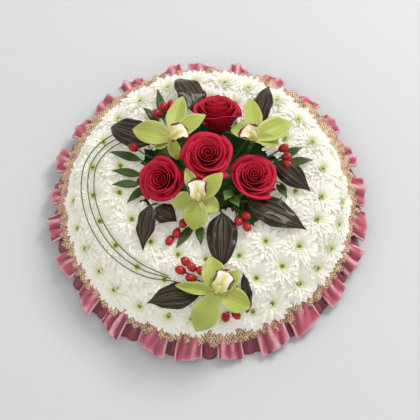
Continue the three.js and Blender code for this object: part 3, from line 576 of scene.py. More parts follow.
# White chrysanthemum heads. The places repeat the run of numbers that places the frame's heads.
headPlan = {
    "seed": 71,
    "rings": [  # radius, heads, the first spray counted from 0, heads on one spray
        (167, 32, 0, 4), (140, 24, 0, 3), (107, 18, 8, 3), (72, 12, 8, 2)],
    "openCentre": {"y": 10, "radius": 78},
    "frontClear": 14,
    "jitter": 1.6,
    "backTrim": 0.44,  # the share of their length that outward petals lose at the back
    "backSink": 7.5,  # how far the heads there stand further in
    "sideShare": 0.62,  # how far both reach round to the sides
    "frontPush": {"angle": 243, "spread": 18, "reach": 6.5},  # the bed swells at the front left
}
sprayBands = [{"first": 0, "count": 8, "reach": 146}, {"first": 8, "count": 6, "reach": 92}]
layerKeys = ("count", "root", "base", "length", "width", "liftRoot", "liftTip", "depth")
headLayers = [dict(zip(layerKeys, row)) for row in (  # rings of petals from the outside in
    (13, 4.0, -9, 25.5, 11.0, 14, -16, 1.0),
    (17, 3.9, -7, 24.0, 8.0, 20, -10, 0.95),
    (19, 3.8, -5, 22.5, 6.4, 26, -4, 0.9),
    (19, 3.5, -4, 20.0, 5.6, 34, 4, 0.8),
    (18, 3.2, -3, 16.5, 5.0, 42, 14, 0.6),
    (15, 2.9, -2, 13.0, 4.2, 50, 24, 0.4),
    (12, 2.6, -1, 9.0, 3.3, 58, 36, 0.22),
    (9, 2.2, 0, 5.0, 2.3, 68, 52, 0.06),
)]
petalShape = {
    "widths": [0.42, 0.84, 1.0, 0.9, 0.3], "rows": 6, "trough": 0.42, "bend": 1.4, "backDroop": 0.4,
    "turnJitter": 0.3, "lengthShare": (0.86, 1.08), "widthShare": (0.88, 1.1), "rootJitter": 0.06,
    "tipJitter": 0.16, "sway": 0.07, "twist": 0.22,
}
eyePlan = {"count": 24, "radius": 2.7, "turn": 2.39996, "crown": 1.2}


def numberRun(seed):
    factor, limit = 16807, 2147483647
    state = seed
    while True:
        state = (state * factor) % limit
        yield state / limit


def headPlaces():
    run = numberRun(headPlan["seed"])
    jitter, opening, push = headPlan["jitter"], headPlan["openCentre"], headPlan["frontPush"]
    heads = []
    for radius, count, firstSpray, onSpray in headPlan["rings"]:
        outer = radius == headPlan["rings"][0][0]
        for k in range(count):
            angle = (k + 0.5) * 360 / count + mix(-jitter, jitter, next(run))
            reach = radius + mix(-jitter, jitter, next(run))
            back = outer * min(1, max(0, headPlan["sideShare"] + math.sin(math.radians(angle))))
            sunk = back * headPlan["backSink"]
            pushed = outer * push["reach"] * math.exp(-(((angle - push["angle"]) / push["spread"]) ** 2))
            centre = polar(reach - sunk + pushed, angle, bedHeight(reach) - sunk / 2 - pushed / 2)
            fromFront = math.hypot(centre[0] - frontMiddle[0], centre[1] - frontMiddle[1])
            inCentre = math.hypot(centre[0], centre[1] - opening["y"]) < opening["radius"]
            if inCentre or fromFront < headPlan["frontClear"]:
                continue
            heads.append({
                "centre": centre, "normal": bedNormal(centre), "spray": firstSpray + k // onSpray,
                "spin": 360 * next(run), "back": back,
            })
    return heads


def petalFan(shape, rng, centre, axes, layer, scale, back):  # one ring of petals
    side, ahead, axis = axes
    count, rows = layer["count"], petalShape["rows"]
    jitter = petalShape["turnJitter"]
    turn = (np.arange(count) + rng.uniform(-jitter, jitter, count) + rng.random()) * 2 * np.pi / count
    length = layer["length"] * scale * rng.uniform(*petalShape["lengthShare"], count)
    radial = unit(centre * (1, 1, 0))
    facing = np.clip(np.cos(turn) * (side @ radial) + np.sin(turn) * (ahead @ radial), 0, 1) * back
    length = length * (1 - headPlan["backTrim"] * facing)
    width = layer["width"] * rng.uniform(*petalShape["widthShare"], count)
    t = np.linspace(0, 1, rows)
    liftRoot = np.radians(layer["liftRoot"]) + rng.normal(0, petalShape["rootJitter"], count)
    liftTip = np.radians(layer["liftTip"]) + rng.normal(0, petalShape["tipJitter"], count)
    liftTip = liftTip - petalShape["backDroop"] * facing
    lift = liftRoot[:, None] + (liftTip - liftRoot)[:, None] * t ** petalShape["bend"]
    step = (length / (rows - 1))[:, None]
    zero = np.zeros((count, 1))
    out = layer["root"] + np.concatenate([zero, np.cumsum(np.cos(lift[:, :-1]) * step, 1)], 1)
    rise = layer["base"] + np.concatenate([zero, np.cumsum(np.sin(lift[:, :-1]) * step, 1)], 1)
    outward = np.cos(turn)[:, None] * side + np.sin(turn)[:, None] * ahead
    sideways = -np.sin(turn)[:, None] * side + np.cos(turn)[:, None] * ahead
    sway = (rng.normal(0, petalShape["sway"], count) * length)[:, None] * t**2
    twist = rng.normal(0, petalShape["twist"], count)[:, None] * np.ones_like(t)
    normal = axis * np.cos(lift)[..., None] - outward[:, None] * np.sin(lift)[..., None]
    across = sideways[:, None] * np.cos(twist)[..., None] + normal * np.sin(twist)[..., None]
    middle = centre + outward[:, None] * out[..., None] + axis * rise[..., None]
    middle = middle + sideways[:, None] * sway[..., None]
    half = (width / 2)[:, None] * readAt(t, petalShape["widths"])
    columns = np.array([-1.0, 0.0, 1.0])
    grid = middle[:, :, None] + across[:, :, None] * (half[..., None] * columns)[..., None]
    trough = half[..., None] * petalShape["trough"] * np.abs(columns)
    grid = grid + normal[:, :, None] * trough[..., None]
    info = infoOf(t[None, :, None], (columns + 1) / 2, rng.random(count)[:, None, None], layer["depth"])
    shape.add(grid, info)


def eyeFlorets(shape, rng, centre, axes):  # the sunk disc in the middle of a head
    side, ahead, axis = axes
    count = eyePlan["count"]
    order = np.arange(count)
    radius = eyePlan["radius"] * np.sqrt((order + 0.5) / count)
    turn = order * eyePlan["turn"]
    height = eyePlan["crown"] - 0.10 * radius**2 + rng.uniform(-0.15, 0.2, count)
    base = centre + side * (radius * np.cos(turn))[:, None] + ahead * (radius * np.sin(turn))[:, None]
    angles = np.arange(4) * 2 * np.pi / 4
    ring = np.cos(angles)[:, None] * side + np.sin(angles)[:, None] * ahead
    rings = []
    for z, wide in ((-1.6, 0.55), (height, 0.62), (height + 0.55, 0.4), (height + 0.62, 0.08)):
        rings.append(base[:, None] + ring * wide + axis * np.broadcast_to(z, count)[:, None, None])
    share = (radius / eyePlan["radius"])[:, None, None]
    upFloret = np.array([0, 0.6, 1, 1])[None, :, None]
    # the fourth number is low at the floret bases and in the middle of the disc, where the eye material
    # paints shade
    info = infoOf(share, 0.5, rng.random(count)[:, None, None], share * upFloret)
    shape.add(np.stack(rings, 1), info, 1, wrap=True, caps=True)


def makeChrysanthemums():
    heads = headPlaces()
    for spray in sorted({head["spray"] for head in heads}):
        rng = np.random.RandomState(seeds["heads"] + spray)
        shape = Shape()
        band = sprayBands[spray >= sprayBands[1]["first"]]
        angle = 360 / band["count"] * (spray - band["first"] + 0.5)
        joint = polar(band["reach"], angle, foamHeight(band["reach"]) + 7)
        stem = [joint + vec(0, 0, 3), joint, joint - vec(0, 0, 7 + stemDepth)]
        stalk(shape, stem, [2.2, 2.6, 2.2], 2, rng, 5)
        for head in (h for h in heads if h["spray"] == spray):
            axes = axesOf(head["normal"], head["spin"])
            calyx = head["centre"] - axes[2] * 7
            elbow = (calyx * 2 + joint) / 3 - axes[2] * 3
            stalk(shape, [head["centre"] - axes[2], calyx, elbow, joint], [1.2, 2.6, 1.3, 1.5], 2, rng, 7)
            scale = rng.uniform(0.96, 1.06)
            for layer in headLayers:
                petalFan(shape, rng, head["centre"], axes, layer, scale, head["back"])
            eyeFlorets(shape, rng, head["centre"] + axes[2] * 0.6, axes)
        number = f"{spray + 1:02d}"
        materials = [petalWhite, eyeGreen, stemGreen]
        replaced = [f"chrysanthemum_spray_{number}"]
        makePiece(f"chrysanthemumHeads{number}", shape, materials, replaced)


makeChrysanthemums()
print("posy: chrysanthemum heads made")

# Red roses: a tight spiral heart and layers of petals whose lips roll out.
# A pair of values runs from the heart to the outermost petal.
rosePlan = {
    "petals": 21, "turn": 137.5, "height": 42, "belly": (1.6, 19.0), "flare": 8.5, "rows": 12, "columns": 17,
    "span": (150, 72), "lipRoll": (0.1, 2.4), "lipFall": (0, 2.6), "dent": (0.1, 1.1), "droop": (1.5, 9.5),
    "point": (0.3, 1.6), "sepals": (18, 90, 162, 234, 306),
}
sepalShape = {"width": 8, "profile": [0.75, 1, 0.72, 0.36, 0.05], "arch": 2, "cup": 1, "hook": 3, "wave": 0.5}
roses = [
    {"face": (0, 2, 150), "lean": (0, -0.18, 1), "size": 1.02, "spin": 20},
    {"face": (-59, -23, 129), "lean": (-0.3, -0.42, 1), "size": 0.95, "spin": 70},
    {"face": (56, -16, 132), "lean": (0.14, -0.06, 1), "size": 0.96, "spin": 140},
    {"face": (11, 87, 126), "lean": (0, 0.70, 1), "size": 1.05, "spin": 200},
]


def rosePetals(shape, rng, base, axes, size):
    side, ahead, axis = axes
    count = rosePlan["petals"]
    v = np.linspace(0, 1, rosePlan["rows"])[:, None]
    u = np.linspace(-1, 1, rosePlan["columns"])[None, :]
    opening = np.clip((v - 0.42) / 0.58, 0, 1)
    lip = np.clip((v - 0.86) / 0.14, 0, 1)
    for i in range(count):
        s = i / (count - 1)
        turn = math.radians(i * rosePlan["turn"] + rng.uniform(-12, 12))
        span = math.radians(mix(*rosePlan["span"], min(1, s / 0.35)) * rng.uniform(0.94, 1.06))
        belly = mix(*rosePlan["belly"], s**0.9)
        foot = 2.2 + 6.5 * s
        flare = 0.5 + rosePlan["flare"] * s**1.25 * rng.uniform(0.85, 1.15)
        top = rosePlan["height"] * (0.90 + 0.10 * math.sin(math.pi * min(1, s * 1.5)) - 0.14 * s**2.2)
        top = top + rng.uniform(-0.8, 0.8)
        angle = turn + u * span * (0.34 + 0.66 * np.sin(np.pi / 2 * np.clip(v * 1.5, 0, 1)))
        radius = foot + (belly - foot) * np.sin(np.pi / 2 * np.clip(v * 1.7, 0, 1)) + flare * opening**1.7
        radius = radius + mix(*rosePlan["lipRoll"], s**1.1) * lip**1.5 * (0.7 + 0.9 * u**2)
        dent = np.exp(-(((np.abs(u) - 0.45) / 0.3) ** 2)) * opening**2
        radius = radius + mix(*rosePlan["dent"], s) * dent * math.cos(i * 2.1)
        radius = radius * (1 + 0.09 * u * (0.35 + 0.65 * v))
        droop = mix(*rosePlan["droop"], s) * np.abs(u) ** 2.4 * v
        point = mix(*rosePlan["point"], s) * np.exp(-((u / 0.16) ** 2)) * opening**3
        z = top * v - droop + point - mix(*rosePlan["lipFall"], s**1.4) * lip**2
        z = z + 0.5 * s * np.sin(u * 6 + i) * v**2
        grid = side * (radius * np.cos(angle))[..., None] + ahead * (radius * np.sin(angle))[..., None]
        grid = base + size * (grid + axis * z[..., None])
        # the fourth number is low for the heart's petals, where the rose material paints shade
        shape.add(grid, infoOf(v, (u + 1) / 2, rng.random(), mix(0.1, 1, s)))


def makeRoses():
    for k, rose in enumerate(roses):
        rng = np.random.RandomState(seeds["roses"] + k)
        axes = axesOf(vec(*rose["lean"]), rose["spin"])
        axis = axes[2]
        base = vec(*rose["face"]) - axis * rosePlan["height"] * rose["size"]
        bloom = Shape()
        rosePetals(bloom, rng, base, axes, rose["size"])
        makePiece(f"roseBloom{k + 1}", bloom, [roseRed], [f"rose_bloom_{k + 1}"], thickness=0.45)
        green = Shape()
        bend = base - axis * 13
        foot = foamPoint(bend, False, 0.72)
        hip = [base + axis * 1.5, base - axis * 1, base - axis * 5, base - axis * 9, bend]
        addTube(green, hip, [5.5, 6.4, 5.6, 3.4, 2.7], 12)
        stem = [base - axis * 8, bend, mix(bend, foot, 0.5) + vec(0, 0, 2), foot, intoFoam(foot, bend)]
        stalk(green, stem, [2.7, 2.6], 0, rng, 10, 8)
        for turn in rosePlan["sepals"]:
            out = axes[0] * math.cos(math.radians(turn)) + axes[1] * math.sin(math.radians(turn))
            root = base - axis * 1.6 + out * 4
            addBlade(green, root, root + out * 17 - axis * 5, {**sepalShape, "up": axis}, 9, 5, rng)
        makePiece(f"roseStem{k + 1}", green, [stemGreen], [f"rose_stem_{k + 1}"])


makeRoses()
print("posy: roses made")

# Cymbidium orchids. Each tepal has its tip, arch and width.
tepalShape = {
    "profile": [0.24, 0.5, 0.78, 0.95, 1.0, 0.97, 0.86, 0.66, 0.38, 0.06], "cup": 3.4, "crease": 2.2,
    "wave": 0.8, "waves": 2, "hook": 2,
}
orchids = [
    {"heart": (-42, 27, 134), "facing": (-0.2, -0.15, 1), "lipTip": (-23, 36, 142), "tepals": [
        ((-91, 48, 121), 4, 28), ((-31, 93, 123), 3, 22), ((-3, 58, 139), 3, 21), ((-36, 5, 121), 2, 14),
        ((-66, 26, 118), 2, 18)]},
    {"heart": (54, 24, 138), "facing": (0.15, -0.1, 1), "lipTip": (39, 33, 147), "tepals": [
        ((51, 91, 122), 4, 21), ((101, 58, 120), 4, 27), ((86, 26, 124), 4, 17), ((27, 45, 128), 6, 21)]},
    {"heart": (-11, -48, 124), "facing": (0, -0.3, 1), "lipTip": (-14, -27, 139), "tepals": [
        ((-17, -78, 103), 5, 28), ((-43, -50, 116), 3, 22), ((-26, -10, 132), 2, 14), ((17, -20, 138), 3, 21),
        ((14, -55, 112), 2, 20)]},
    {"heart": (10, -150, 92), "facing": (0.05, -0.35, 1), "lipTip": (24, -128, 105), "atFront": True,
     "tepals": [
        ((-14, -187, 58), 9, 31), ((50, -162, 70), 6, 27), ((3, -108, 99), 4, 27), ((38, -126, 99), 3, 20),
        ((-38, -141, 90), 3, 13)]},
]
lipShape = {
    "rows": 18, "columns": 21,
    "halfWidth": ([0, 0.2, 0.45, 0.6, 0.8, 0.95, 1], [4, 8.5, 10.5, 10, 12.5, 9.5, 7]),
    "sideHeight": ([0, 0.3, 0.5, 0.75, 1], [7, 11, 9, 3, -3]),
    "column": [(-0.5, 0), (4, 0.6), (8.5, 2.6), (11.6, 6.2), (12.0, 8.4)],  # up and forward from the root
    "columnRadii": [3.0, 2.8, 2.9, 3.3, 1.9],
}


def makeLip(k, orchid, root, facing):  # the frilled lip under its column
    lip = Shape()
    along = vec(*orchid["lipTip"]) - root
    length = np.linalg.norm(along)
    along = along / length
    across = unit(np.cross(along, facing))
    lift = np.cross(across, along)
    t = np.linspace(0, 1, lipShape["rows"])[:, None]
    c = np.linspace(-1, 1, lipShape["columns"])[None, :]
    off = np.abs(c)
    half = np.interp(t, *lipShape["halfWidth"])
    edge = np.interp(t, *lipShape["sideHeight"])
    ridge = 1.8 * np.exp(-(((off - 0.2) / 0.11) ** 2)) * np.clip(1 - np.abs(t - 0.35) / 0.4, 0, 1)
    frill = 1.5 * np.sin(c * 17 + k) * np.clip((t - 0.6) / 0.4, 0, 1) * off**0.5
    frill = frill + 0.9 * np.sin(t * 23 + k) * np.clip((off - 0.7) / 0.3, 0, 1)
    curl = -5.0 * np.clip((t - 0.78) / 0.22, 0, 1) ** 2
    reach = t * length * (1 - 0.14 * c**2 * t)
    height = 3 * np.sin(np.pi * t) + edge * c**2 + ridge + frill + curl
    grid = root + along * reach[..., None] + across * (half * c)[..., None] + lift * height[..., None]
    sideBorder = np.clip((off - 0.45) / 0.55, 0, 1) * np.clip(t * 2.4, 0, 1)
    border = np.maximum(np.clip((t - 0.6) / 0.4, 0, 1), sideBorder)
    lip.add(grid, infoOf(t, (c + 1) / 2, 0.5, border))
    column = curveThrough([root + lift * up + along * ahead for up, ahead in lipShape["column"]], 11)
    radii = readAt(np.linspace(0, 1, len(column)), lipShape["columnRadii"])
    addTube(lip, column, radii, 10, 0, (0.35, 0.42, 0.5, 0.1))
    makePiece(f"orchidLip{k + 1}", lip, [lipCream], [f"orchid_lip_{k + 1}"], thickness=0.7)


def makeOrchids():
    for k, orchid in enumerate(orchids):
        rng = np.random.RandomState(seeds["orchids"] + k)
        heart, facing = vec(*orchid["heart"]), unit(vec(*orchid["facing"]))
        flower = Shape()
        for tip, arch, width in orchid["tepals"]:
            spec = {**tepalShape, "width": width * 1.04, "arch": arch, "up": facing}
            spec["phase"] = 6 * rng.random()
            addBlade(flower, heart, vec(*tip), spec, 16, 11, rng)
        replaced = [f"orchid_flower_{k + 1}"]
        makePiece(f"orchidTepals{k + 1}", flower, [tepalGreen], replaced, thickness=0.9)
        green = Shape()
        atFront = "atFront" in orchid
        foot = foamPoint(heart, atFront, 0.4 if atFront else 0.66)
        low = heart - facing * 16
        ovary = [heart + facing * 0.2, heart - facing * 4, heart - facing * 10, low]
        addTube(green, ovary, [4.4, 3.6, 3.2, 2.3], 8)
        stalk(green, [low + facing, mix(low, foot, 0.5), foot, intoFoam(foot, low)], [2.3, 2.2], 0, rng, 9, 8)
        makePiece(f"orchidStem{k + 1}", green, [stemGreen], [])
        makeLip(k, orchid, heart + facing * 2.8, facing)


makeOrchids()
print("posy: orchids made")

# Dark glossy leaves on short stalks: root, tip, arch, width, roll, whether the end is blunt.
darkLeaves = [
    ((-12, 80, 100), (-37, 137, 95), 11, 38, 18, True), ((-66, 40, 102), (-120, 65, 97), 9, 36, -12, True),
    ((58, 60, 104), (76, 128, 91), 6, 31, -22, False), ((81, 12, 105), (123, -22, 93), 10, 28, 20, False),
    ((47, -40, 104), (117, -70, 90), 6, 36, 0, False), ((17, -54, 100), (16, -118, 92), 7, 37, 0, True),
    ((-68, -44, 103), (-77, -98, 91), 5, 24, 15, False), ((-62, -47, 100), (-36, -63, 98), 3, 27, 0, False),
    ((-10, -150, 84), (-72, -154, 68), 9, 33, 0, False), ((47, -164, 62), (42, -129, 93), 3, 14, 10, True),
]
frontLeaves = 2  # the last ones of the list grow from the front spray
leafShape = {"cup": -2.4, "crease": 1.8, "wave": 2.1, "waves": 2.7}
leafEnds = {
    False: {"profile": [0.1, 0.52, 0.82, 0.96, 1.0, 0.97, 0.86, 0.68, 0.42, 0.18, 0.02], "hook": 3},
    True: {"profile": [0.1, 0.52, 0.82, 0.96, 1.0, 0.98, 0.92, 0.82, 0.66, 0.42, 0.02], "hook": 4.5},
}


def makeDarkLeaves():
    for k, (root, tip, arch, width, roll, blunt) in enumerate(darkLeaves):
        rng = np.random.RandomState(seeds["darkLeaves"] + k)
        root, tip = vec(*root), vec(*tip)
        shape = Shape()
        spec = {**leafShape, **leafEnds[blunt], "width": width, "arch": arch, "roll": roll}
        spec["phase"] = 6 * rng.random()
        addBlade(shape, root, tip, spec, 26, 15, rng)
        atFront = k >= len(darkLeaves) - frontLeaves
        foot = foamPoint(root, atFront, 0.35 if atFront else 0.5)
        rib = [mix(root, tip, 0.05), root - vec(0, 0, 1.5), mix(root, foot, 0.6), foot, intoFoam(foot, root)]
        stalk(shape, rib, [1.1, 1.6, 1.7], 1, rng, 9)
        number = f"{k + 1:02d}"
        replaced = [f"dark_leaf_{number}"]
        makePiece(f"darkLeaf{number}", shape, [leafDark, stemGreen], replaced, thickness=0.7)


makeDarkLeaves()

# Berries: the fork of each sprig, whether it grows from the front spray, and its berries.
berrySprigs = [
    ((-38, 62, 84), False, [(-62, 79, 103), (-54, 86, 107), (-45, 91, 103)]),
    ((-55, 20, 84), False, [(-90, 32, 103)]),
    ((56, 20, 84), False, [(91, 29, 107), (95, 19, 103), (95, 7, 107)]),
    ((32, -38, 84), False, [(45, -57, 99), (46, -71, 98), (36, -64, 98)]),
    ((-24, -42, 84), False, [(-29, -68, 101), (-37, -79, 97), (-45, -87, 94)]),
    ((8, -134, 74), True, [(-26, -114, 96), (-32, -124, 94), (-19, -122, 99), (-20, -133, 92),
                           (-8, -126, 97)]),
    ((22, -152, 62), True, [(33, -167, 62), (21, -169, 60)]),
]
berryShape = {"radius": 5.2, "length": 6.4, "rings": 11, "sides": 14, "calyxLeaves": 5}
calyxShape = {"width": 3.4, "profile": [0.5, 1, 0.75, 0.06], "arch": 0.7}


def addBerry(shape, berry, fork, rng):
    length, rings, sides = berryShape["length"], berryShape["rings"], berryShape["sides"]
    axis = unit(berry - fork)
    side, ahead, _ = axesOf(axis, 360 * rng.random())
    fromCalyx = np.linspace(0.06, math.pi - 0.06, rings)
    path = [berry - axis * length * math.cos(angle) for angle in fromCalyx]
    info = infoOf(np.linspace(0, 1, rings)[:, None], np.linspace(0, 1, sides)[None, :], rng.random(), 0.5)
    addTube(shape, path, berryShape["radius"] * np.sin(fromCalyx) ** 0.9, sides, 0, info)
    tip = berry + axis * length
    addTube(shape, [tip - axis, tip + axis * 0.5, tip + axis * 1.6], [0.9, 0.5, 0.2], 5, 2)
    stalk(shape, [berry - axis * 5, mix(berry, fork, 0.5) - vec(0, 0, 1.5), fork], [1.0, 1.1], 1, rng, 7)
    for turn in range(berryShape["calyxLeaves"]):
        angle = 2 * math.pi * turn / berryShape["calyxLeaves"]
        out = side * math.cos(angle) + ahead * math.sin(angle)
        root = berry - axis * 6.2 + out * 0.7
        addBlade(shape, root, root + out * 4.6 + axis * 1.8, {**calyxShape, "up": -axis}, 6, 3, rng, 2)


def makeBerries():
    for k, (fork, atFront, berries) in enumerate(berrySprigs):
        rng = np.random.RandomState(seeds["berries"] + k)
        fork = vec(*fork)
        shape = Shape()
        forkStem(shape, fork, foamPoint(fork, atFront, 0.84), 1.9, rng)
        for berry in berries:
            addBerry(shape, vec(*berry), fork, rng)
        materials = [berryRed, stemGreen, leafBright]
        makePiece(f"berrySprig{k + 1}", shape, materials, [f"berry_sprig_{k + 1}"])


makeBerries()

# Small green leaves: the fork of each sprig, and root and tip of its leaves.
ruscusSprigs = [
    ((-42, 52, 84), [((-54, 78, 90), (-63, 119, 95)), ((-58, 72, 88), (-80, 92, 96))]),
    ((-58, 4, 78), [((-80, 20, 92), (-120, 31, 95)), ((-80, 0, 92), (-116, 5, 96)),
                    ((-82, -12, 92), (-115, -14, 96)), ((-74, -14, 90), (-96, -38, 96))]),
    ((58, 4, 84), [((90, 26, 92), (115, 36, 96)), ((92, 16, 92), (128, 20, 95)),
                   ((84, -8, 90), (94, -32, 96))]),
    ((-10, -47, 84), [((-18, -66, 92), (-37, -96, 95)), ((-10, -66, 94), (-8, -94, 99))]),
    ((28, -30, 88), [((28, -32, 104), (36, -50, 112)), ((27, -26, 106), (20, -44, 116))]),
]
ruscusWidths = [0.12, 0.62, 0.92, 1.0, 0.9, 0.66, 0.34, 0.03]
ruscusShape = {
    "profile": ruscusWidths, "arch": 2, "cup": -0.8, "crease": 1.1, "wave": 0.4, "waves": 2, "hook": 1.5,
}
ruscusFill = {"count": 9, "reach": (22, 33)}  # low leaves that hide the foam between the flowers
fillShape = {"profile": ruscusWidths, "arch": 3, "cup": -1, "crease": 1.2, "hook": 2}


def makeRuscus():
    for k, (fork, leaves) in enumerate(ruscusSprigs):
        rng = np.random.RandomState(seeds["ruscus"] + k)
        fork = vec(*fork)
        shape = Shape()
        forkStem(shape, fork, foamPoint(fork, False, 0.9), 1.8, rng)
        bright = k == len(ruscusSprigs) - 1  # the last sprig stands up between the flowers
        for turn in range(ruscusFill["count"]):
            angle = 2 * math.pi * (turn + rng.uniform(0.1, 0.9)) / ruscusFill["count"]
            out = vec(math.cos(angle), math.sin(angle), 0)
            root = fork + out * 3 - vec(0, 0, rng.uniform(6, 14))
            outward = max(0, out @ unit(fork * (1, 1, 0)))
            tip = root + out * rng.uniform(*ruscusFill["reach"]) * (1 - 0.5 * outward)
            tip = tip + vec(0, 0, rng.uniform(-3, 6))
            addBlade(shape, root, tip, {**fillShape, "width": rng.uniform(13, 17)}, 11, 5, rng, 2)
        for root, tip in leaves:
            root, tip = vec(*root), vec(*tip)
            spec = {**ruscusShape, "width": 14 if bright else 11.5, "phase": 6 * rng.random()}
            addBlade(shape, root, tip, spec, 13, 7, rng)
            stalk(shape, [mix(root, tip, 0.08), root, fork], [0.8, 1.1], 1, rng, 7)
        materials = [leafBright if bright else ruscusGreen, stemGreen, ruscusGreen]
        replaced = [f"ruscus_sprig_{k + 1}"]
        makePiece(f"ruscusSprig{k + 1}", shape, materials, replaced, thickness=0.5)


makeRuscus()

grassPlan = {
    "above": 8, "turns": 10, "wide": 0.72, "steps": 110, "sides": 6, "startRadius": 112, "startAngle": 146,
    "endAngle": 253,
}
grassLoops = [(149.5, 137), (142, 135.2), (135, 133.4)]  # radius in the middle of the loop and at its end


def makeGrass():
    for k, (middle, end) in enumerate(grassLoops):
        rng = np.random.RandomState(seeds["grass"] + k)
        start = vec(-54 + 3 * k, 40 - 5 * k, foamHeight(66))
        endAngle = grassPlan["endAngle"] - 2.4 * k
        last = polar(end - 3, endAngle + 4, foamHeight(138))
        loop = []
        for step in range(grassPlan["turns"]):
            t = step / (grassPlan["turns"] - 1)
            rise = 1 - (1 - min(1, t / 0.3)) ** 2
            radius = mix(mix(grassPlan["startRadius"] - 7 * k, middle, rise), end, t**5)
            angle = mix(grassPlan["startAngle"] + 2 * k, endAngle, t)
            surface = polar(radius, angle, bedHeight(radius))
            loop.append(surface + bedNormal(surface) * grassPlan["above"])
        rising = [start + vec(8, -4, -14), start, vec(-76 + 3 * k, 53 - 7 * k, 86)]
        falling = [last + vec(-2, 0, 14), last, last + vec(3, 0, -14)]
        line = curveThrough(rising + loop + falling, grassPlan["steps"])
        share = np.linspace(0, 1, grassPlan["steps"])
        radii = grassPlan["wide"] * (0.75 + 0.25 * np.sin(np.pi * share))
        shape = Shape()
        across = np.linspace(0, 1, grassPlan["sides"])[None, :]
        info = infoOf(share[:, None], across, rng.random(), 0.5)
        addTube(shape, line, radii, grassPlan["sides"], 0, info)
        makePiece(f"grassStrand{k + 1}", shape, [grassOlive], [f"grass_strand_{k + 1}"])


makeGrass()
print("posy: leaves, berries and grass made")

# The edging: box-pleated satin under a narrower gathered net.
# A fold has its place across the pleat or the pitch, its level, its reach and its painted light and shade:
# dark in the recesses and under the folds, light where it turns up to the light.
satinPlan = {
    "pleats": 25, "firstCentre": 4.75, "foot": (166.5, 31), "rim": (198, 13), "rows": 13, "faceHalf": 4.7,
    "frontReach": 9, "frontDrop": 8, "backRise": 8, "faceColumns": 13,
    "underFolds": [(0.9, -2.6, -6, 0.1), (0.6, -1.8, -4.5, 0.18), (0.5, -0.8, -3.5, 0.3),
                   (0.85, 0.2, -1.8, 0.4), (1.05, 1.2, -1, 0.6), (1.07, 2.6, -0.5, 1.0), (1.0, 3.6, 0, 1.0)],
    "between": [(0.40, -5.0, -4.0, 0.12), (0.46, -4.6, -3.0, 0.34), (0.54, -4.6, -3.0, 0.34),
                (0.60, -5.0, -4.0, 0.1)],
    "uneven": {"centre": (-1.2, 1.2), "half": (0.85, 1.12), "tall": (0.75, 1.35), "tilt": (-3.0, 3.0),
               "lean": (-4.5, 4.5), "push": (-3.5, 0.5), "crease": (-0.5, 0.5)},
}
netPlan = {
    "points": 1500, "foot": (166.2, 38.5), "rim": (187, 27), "rows": 7, "gathers": 74, "backRise": 6,
    "frontReach": 4, "frayStep": 6, "fray": (-3.4, 1.8), "fuzz": (-0.8, 0.8),
}


def makeRibbon(name, grid, info, material, node, thickness):  # a closed ring of cloth
    shape = Shape()
    shape.add(grid, info, wrap=True)
    ribbon = makePiece(name, shape, [material], [node], thickness)


def pleatPoints(rng):  # angle, level, reach and painted light and shade of every point round the satin
    pitch = 360 / satinPlan["pleats"]
    points = []
    for k in range(satinPlan["pleats"]):
        drawn = [rng.uniform(*ends) for ends in satinPlan["uneven"].values()]
        shift, broad, tall, tilt, lean, push, crease = drawn
        centre = satinPlan["firstCentre"] + pitch * k + shift
        half = satinPlan["faceHalf"] * broad
        sides = {}
        for sign in (-1, 1):
            sides[sign] = [
                (centre + sign * half * at, level * tall + sign * tilt, push + reach + sign * lean, face)
                for at, level, reach, face in satinPlan["underFolds"]
            ]
        points += sides[-1]
        for x in np.linspace(-0.92, 0.92, satinPlan["faceColumns"]):
            ridge = 1 - min(1, abs(x - crease) / 0.4)
            pucker = math.sin(x * 7 + k * 2.3) * (1 + 0.6 * math.sin(k * 1.7))
            level = (4.2 + 3.2 * ridge - 0.9 * abs(x) + 1.1 * pucker) * tall + tilt * x
            # painted highlight along the crease ridge and on the puckers
            face = 0.52 + 0.32 * ridge + 0.2 * pucker
            points.append((centre + half * x, level, push + lean * x + 1.2 * ridge, face))
        points += reversed(sides[1])
        for at, level, reach, face in satinPlan["between"]:
            points.append((centre + pitch * at, level, reach, face))
    return np.array(points).T[:, None, :]


def makeSatin():
    angle, level, reach, face = pleatPoints(np.random.RandomState(seeds["satin"]))
    s = np.linspace(0, 1, satinPlan["rows"])[:, None]
    (footR, footZ), (rimR, rimZ) = satinPlan["foot"], satinPlan["rim"]
    turn = np.radians(angle) + 0 * s
    front = np.clip(-np.sin(turn), 0, 1)
    back = np.clip(np.sin(turn), 0, 1)
    lit = face > 0.4
    wave = np.sin(s * 9 + angle * 1.9) * np.sin(np.pi * s)
    radius = footR + (rimR - footR) * s + reach * s + level * 0.45 * s + satinPlan["frontReach"] * front * s
    height = footZ + (rimZ - footZ) * s**1.35 + level * (0.12 + 0.88 * s**0.8) + 2.0 * wave * lit
    height = height + (satinPlan["backRise"] * back - satinPlan["frontDrop"] * front) * s
    grid = np.stack([radius * np.cos(turn), radius * np.sin(turn), np.maximum(height, 1.0)], -1)
    # painted light: the ripple shifts the shading, and a painted highlight runs along the lit rim
    face = np.clip(face + 0.18 * wave + 0.5 * np.clip((s - 0.9) / 0.1, 0, 1) * lit, 0, 1)
    info = infoOf(s, np.linspace(0, 1, face.shape[1])[None, :], 0.5, face)
    makeRibbon("satinRibbon", grid, info, satinPink, "satin_pleats", 0.5)


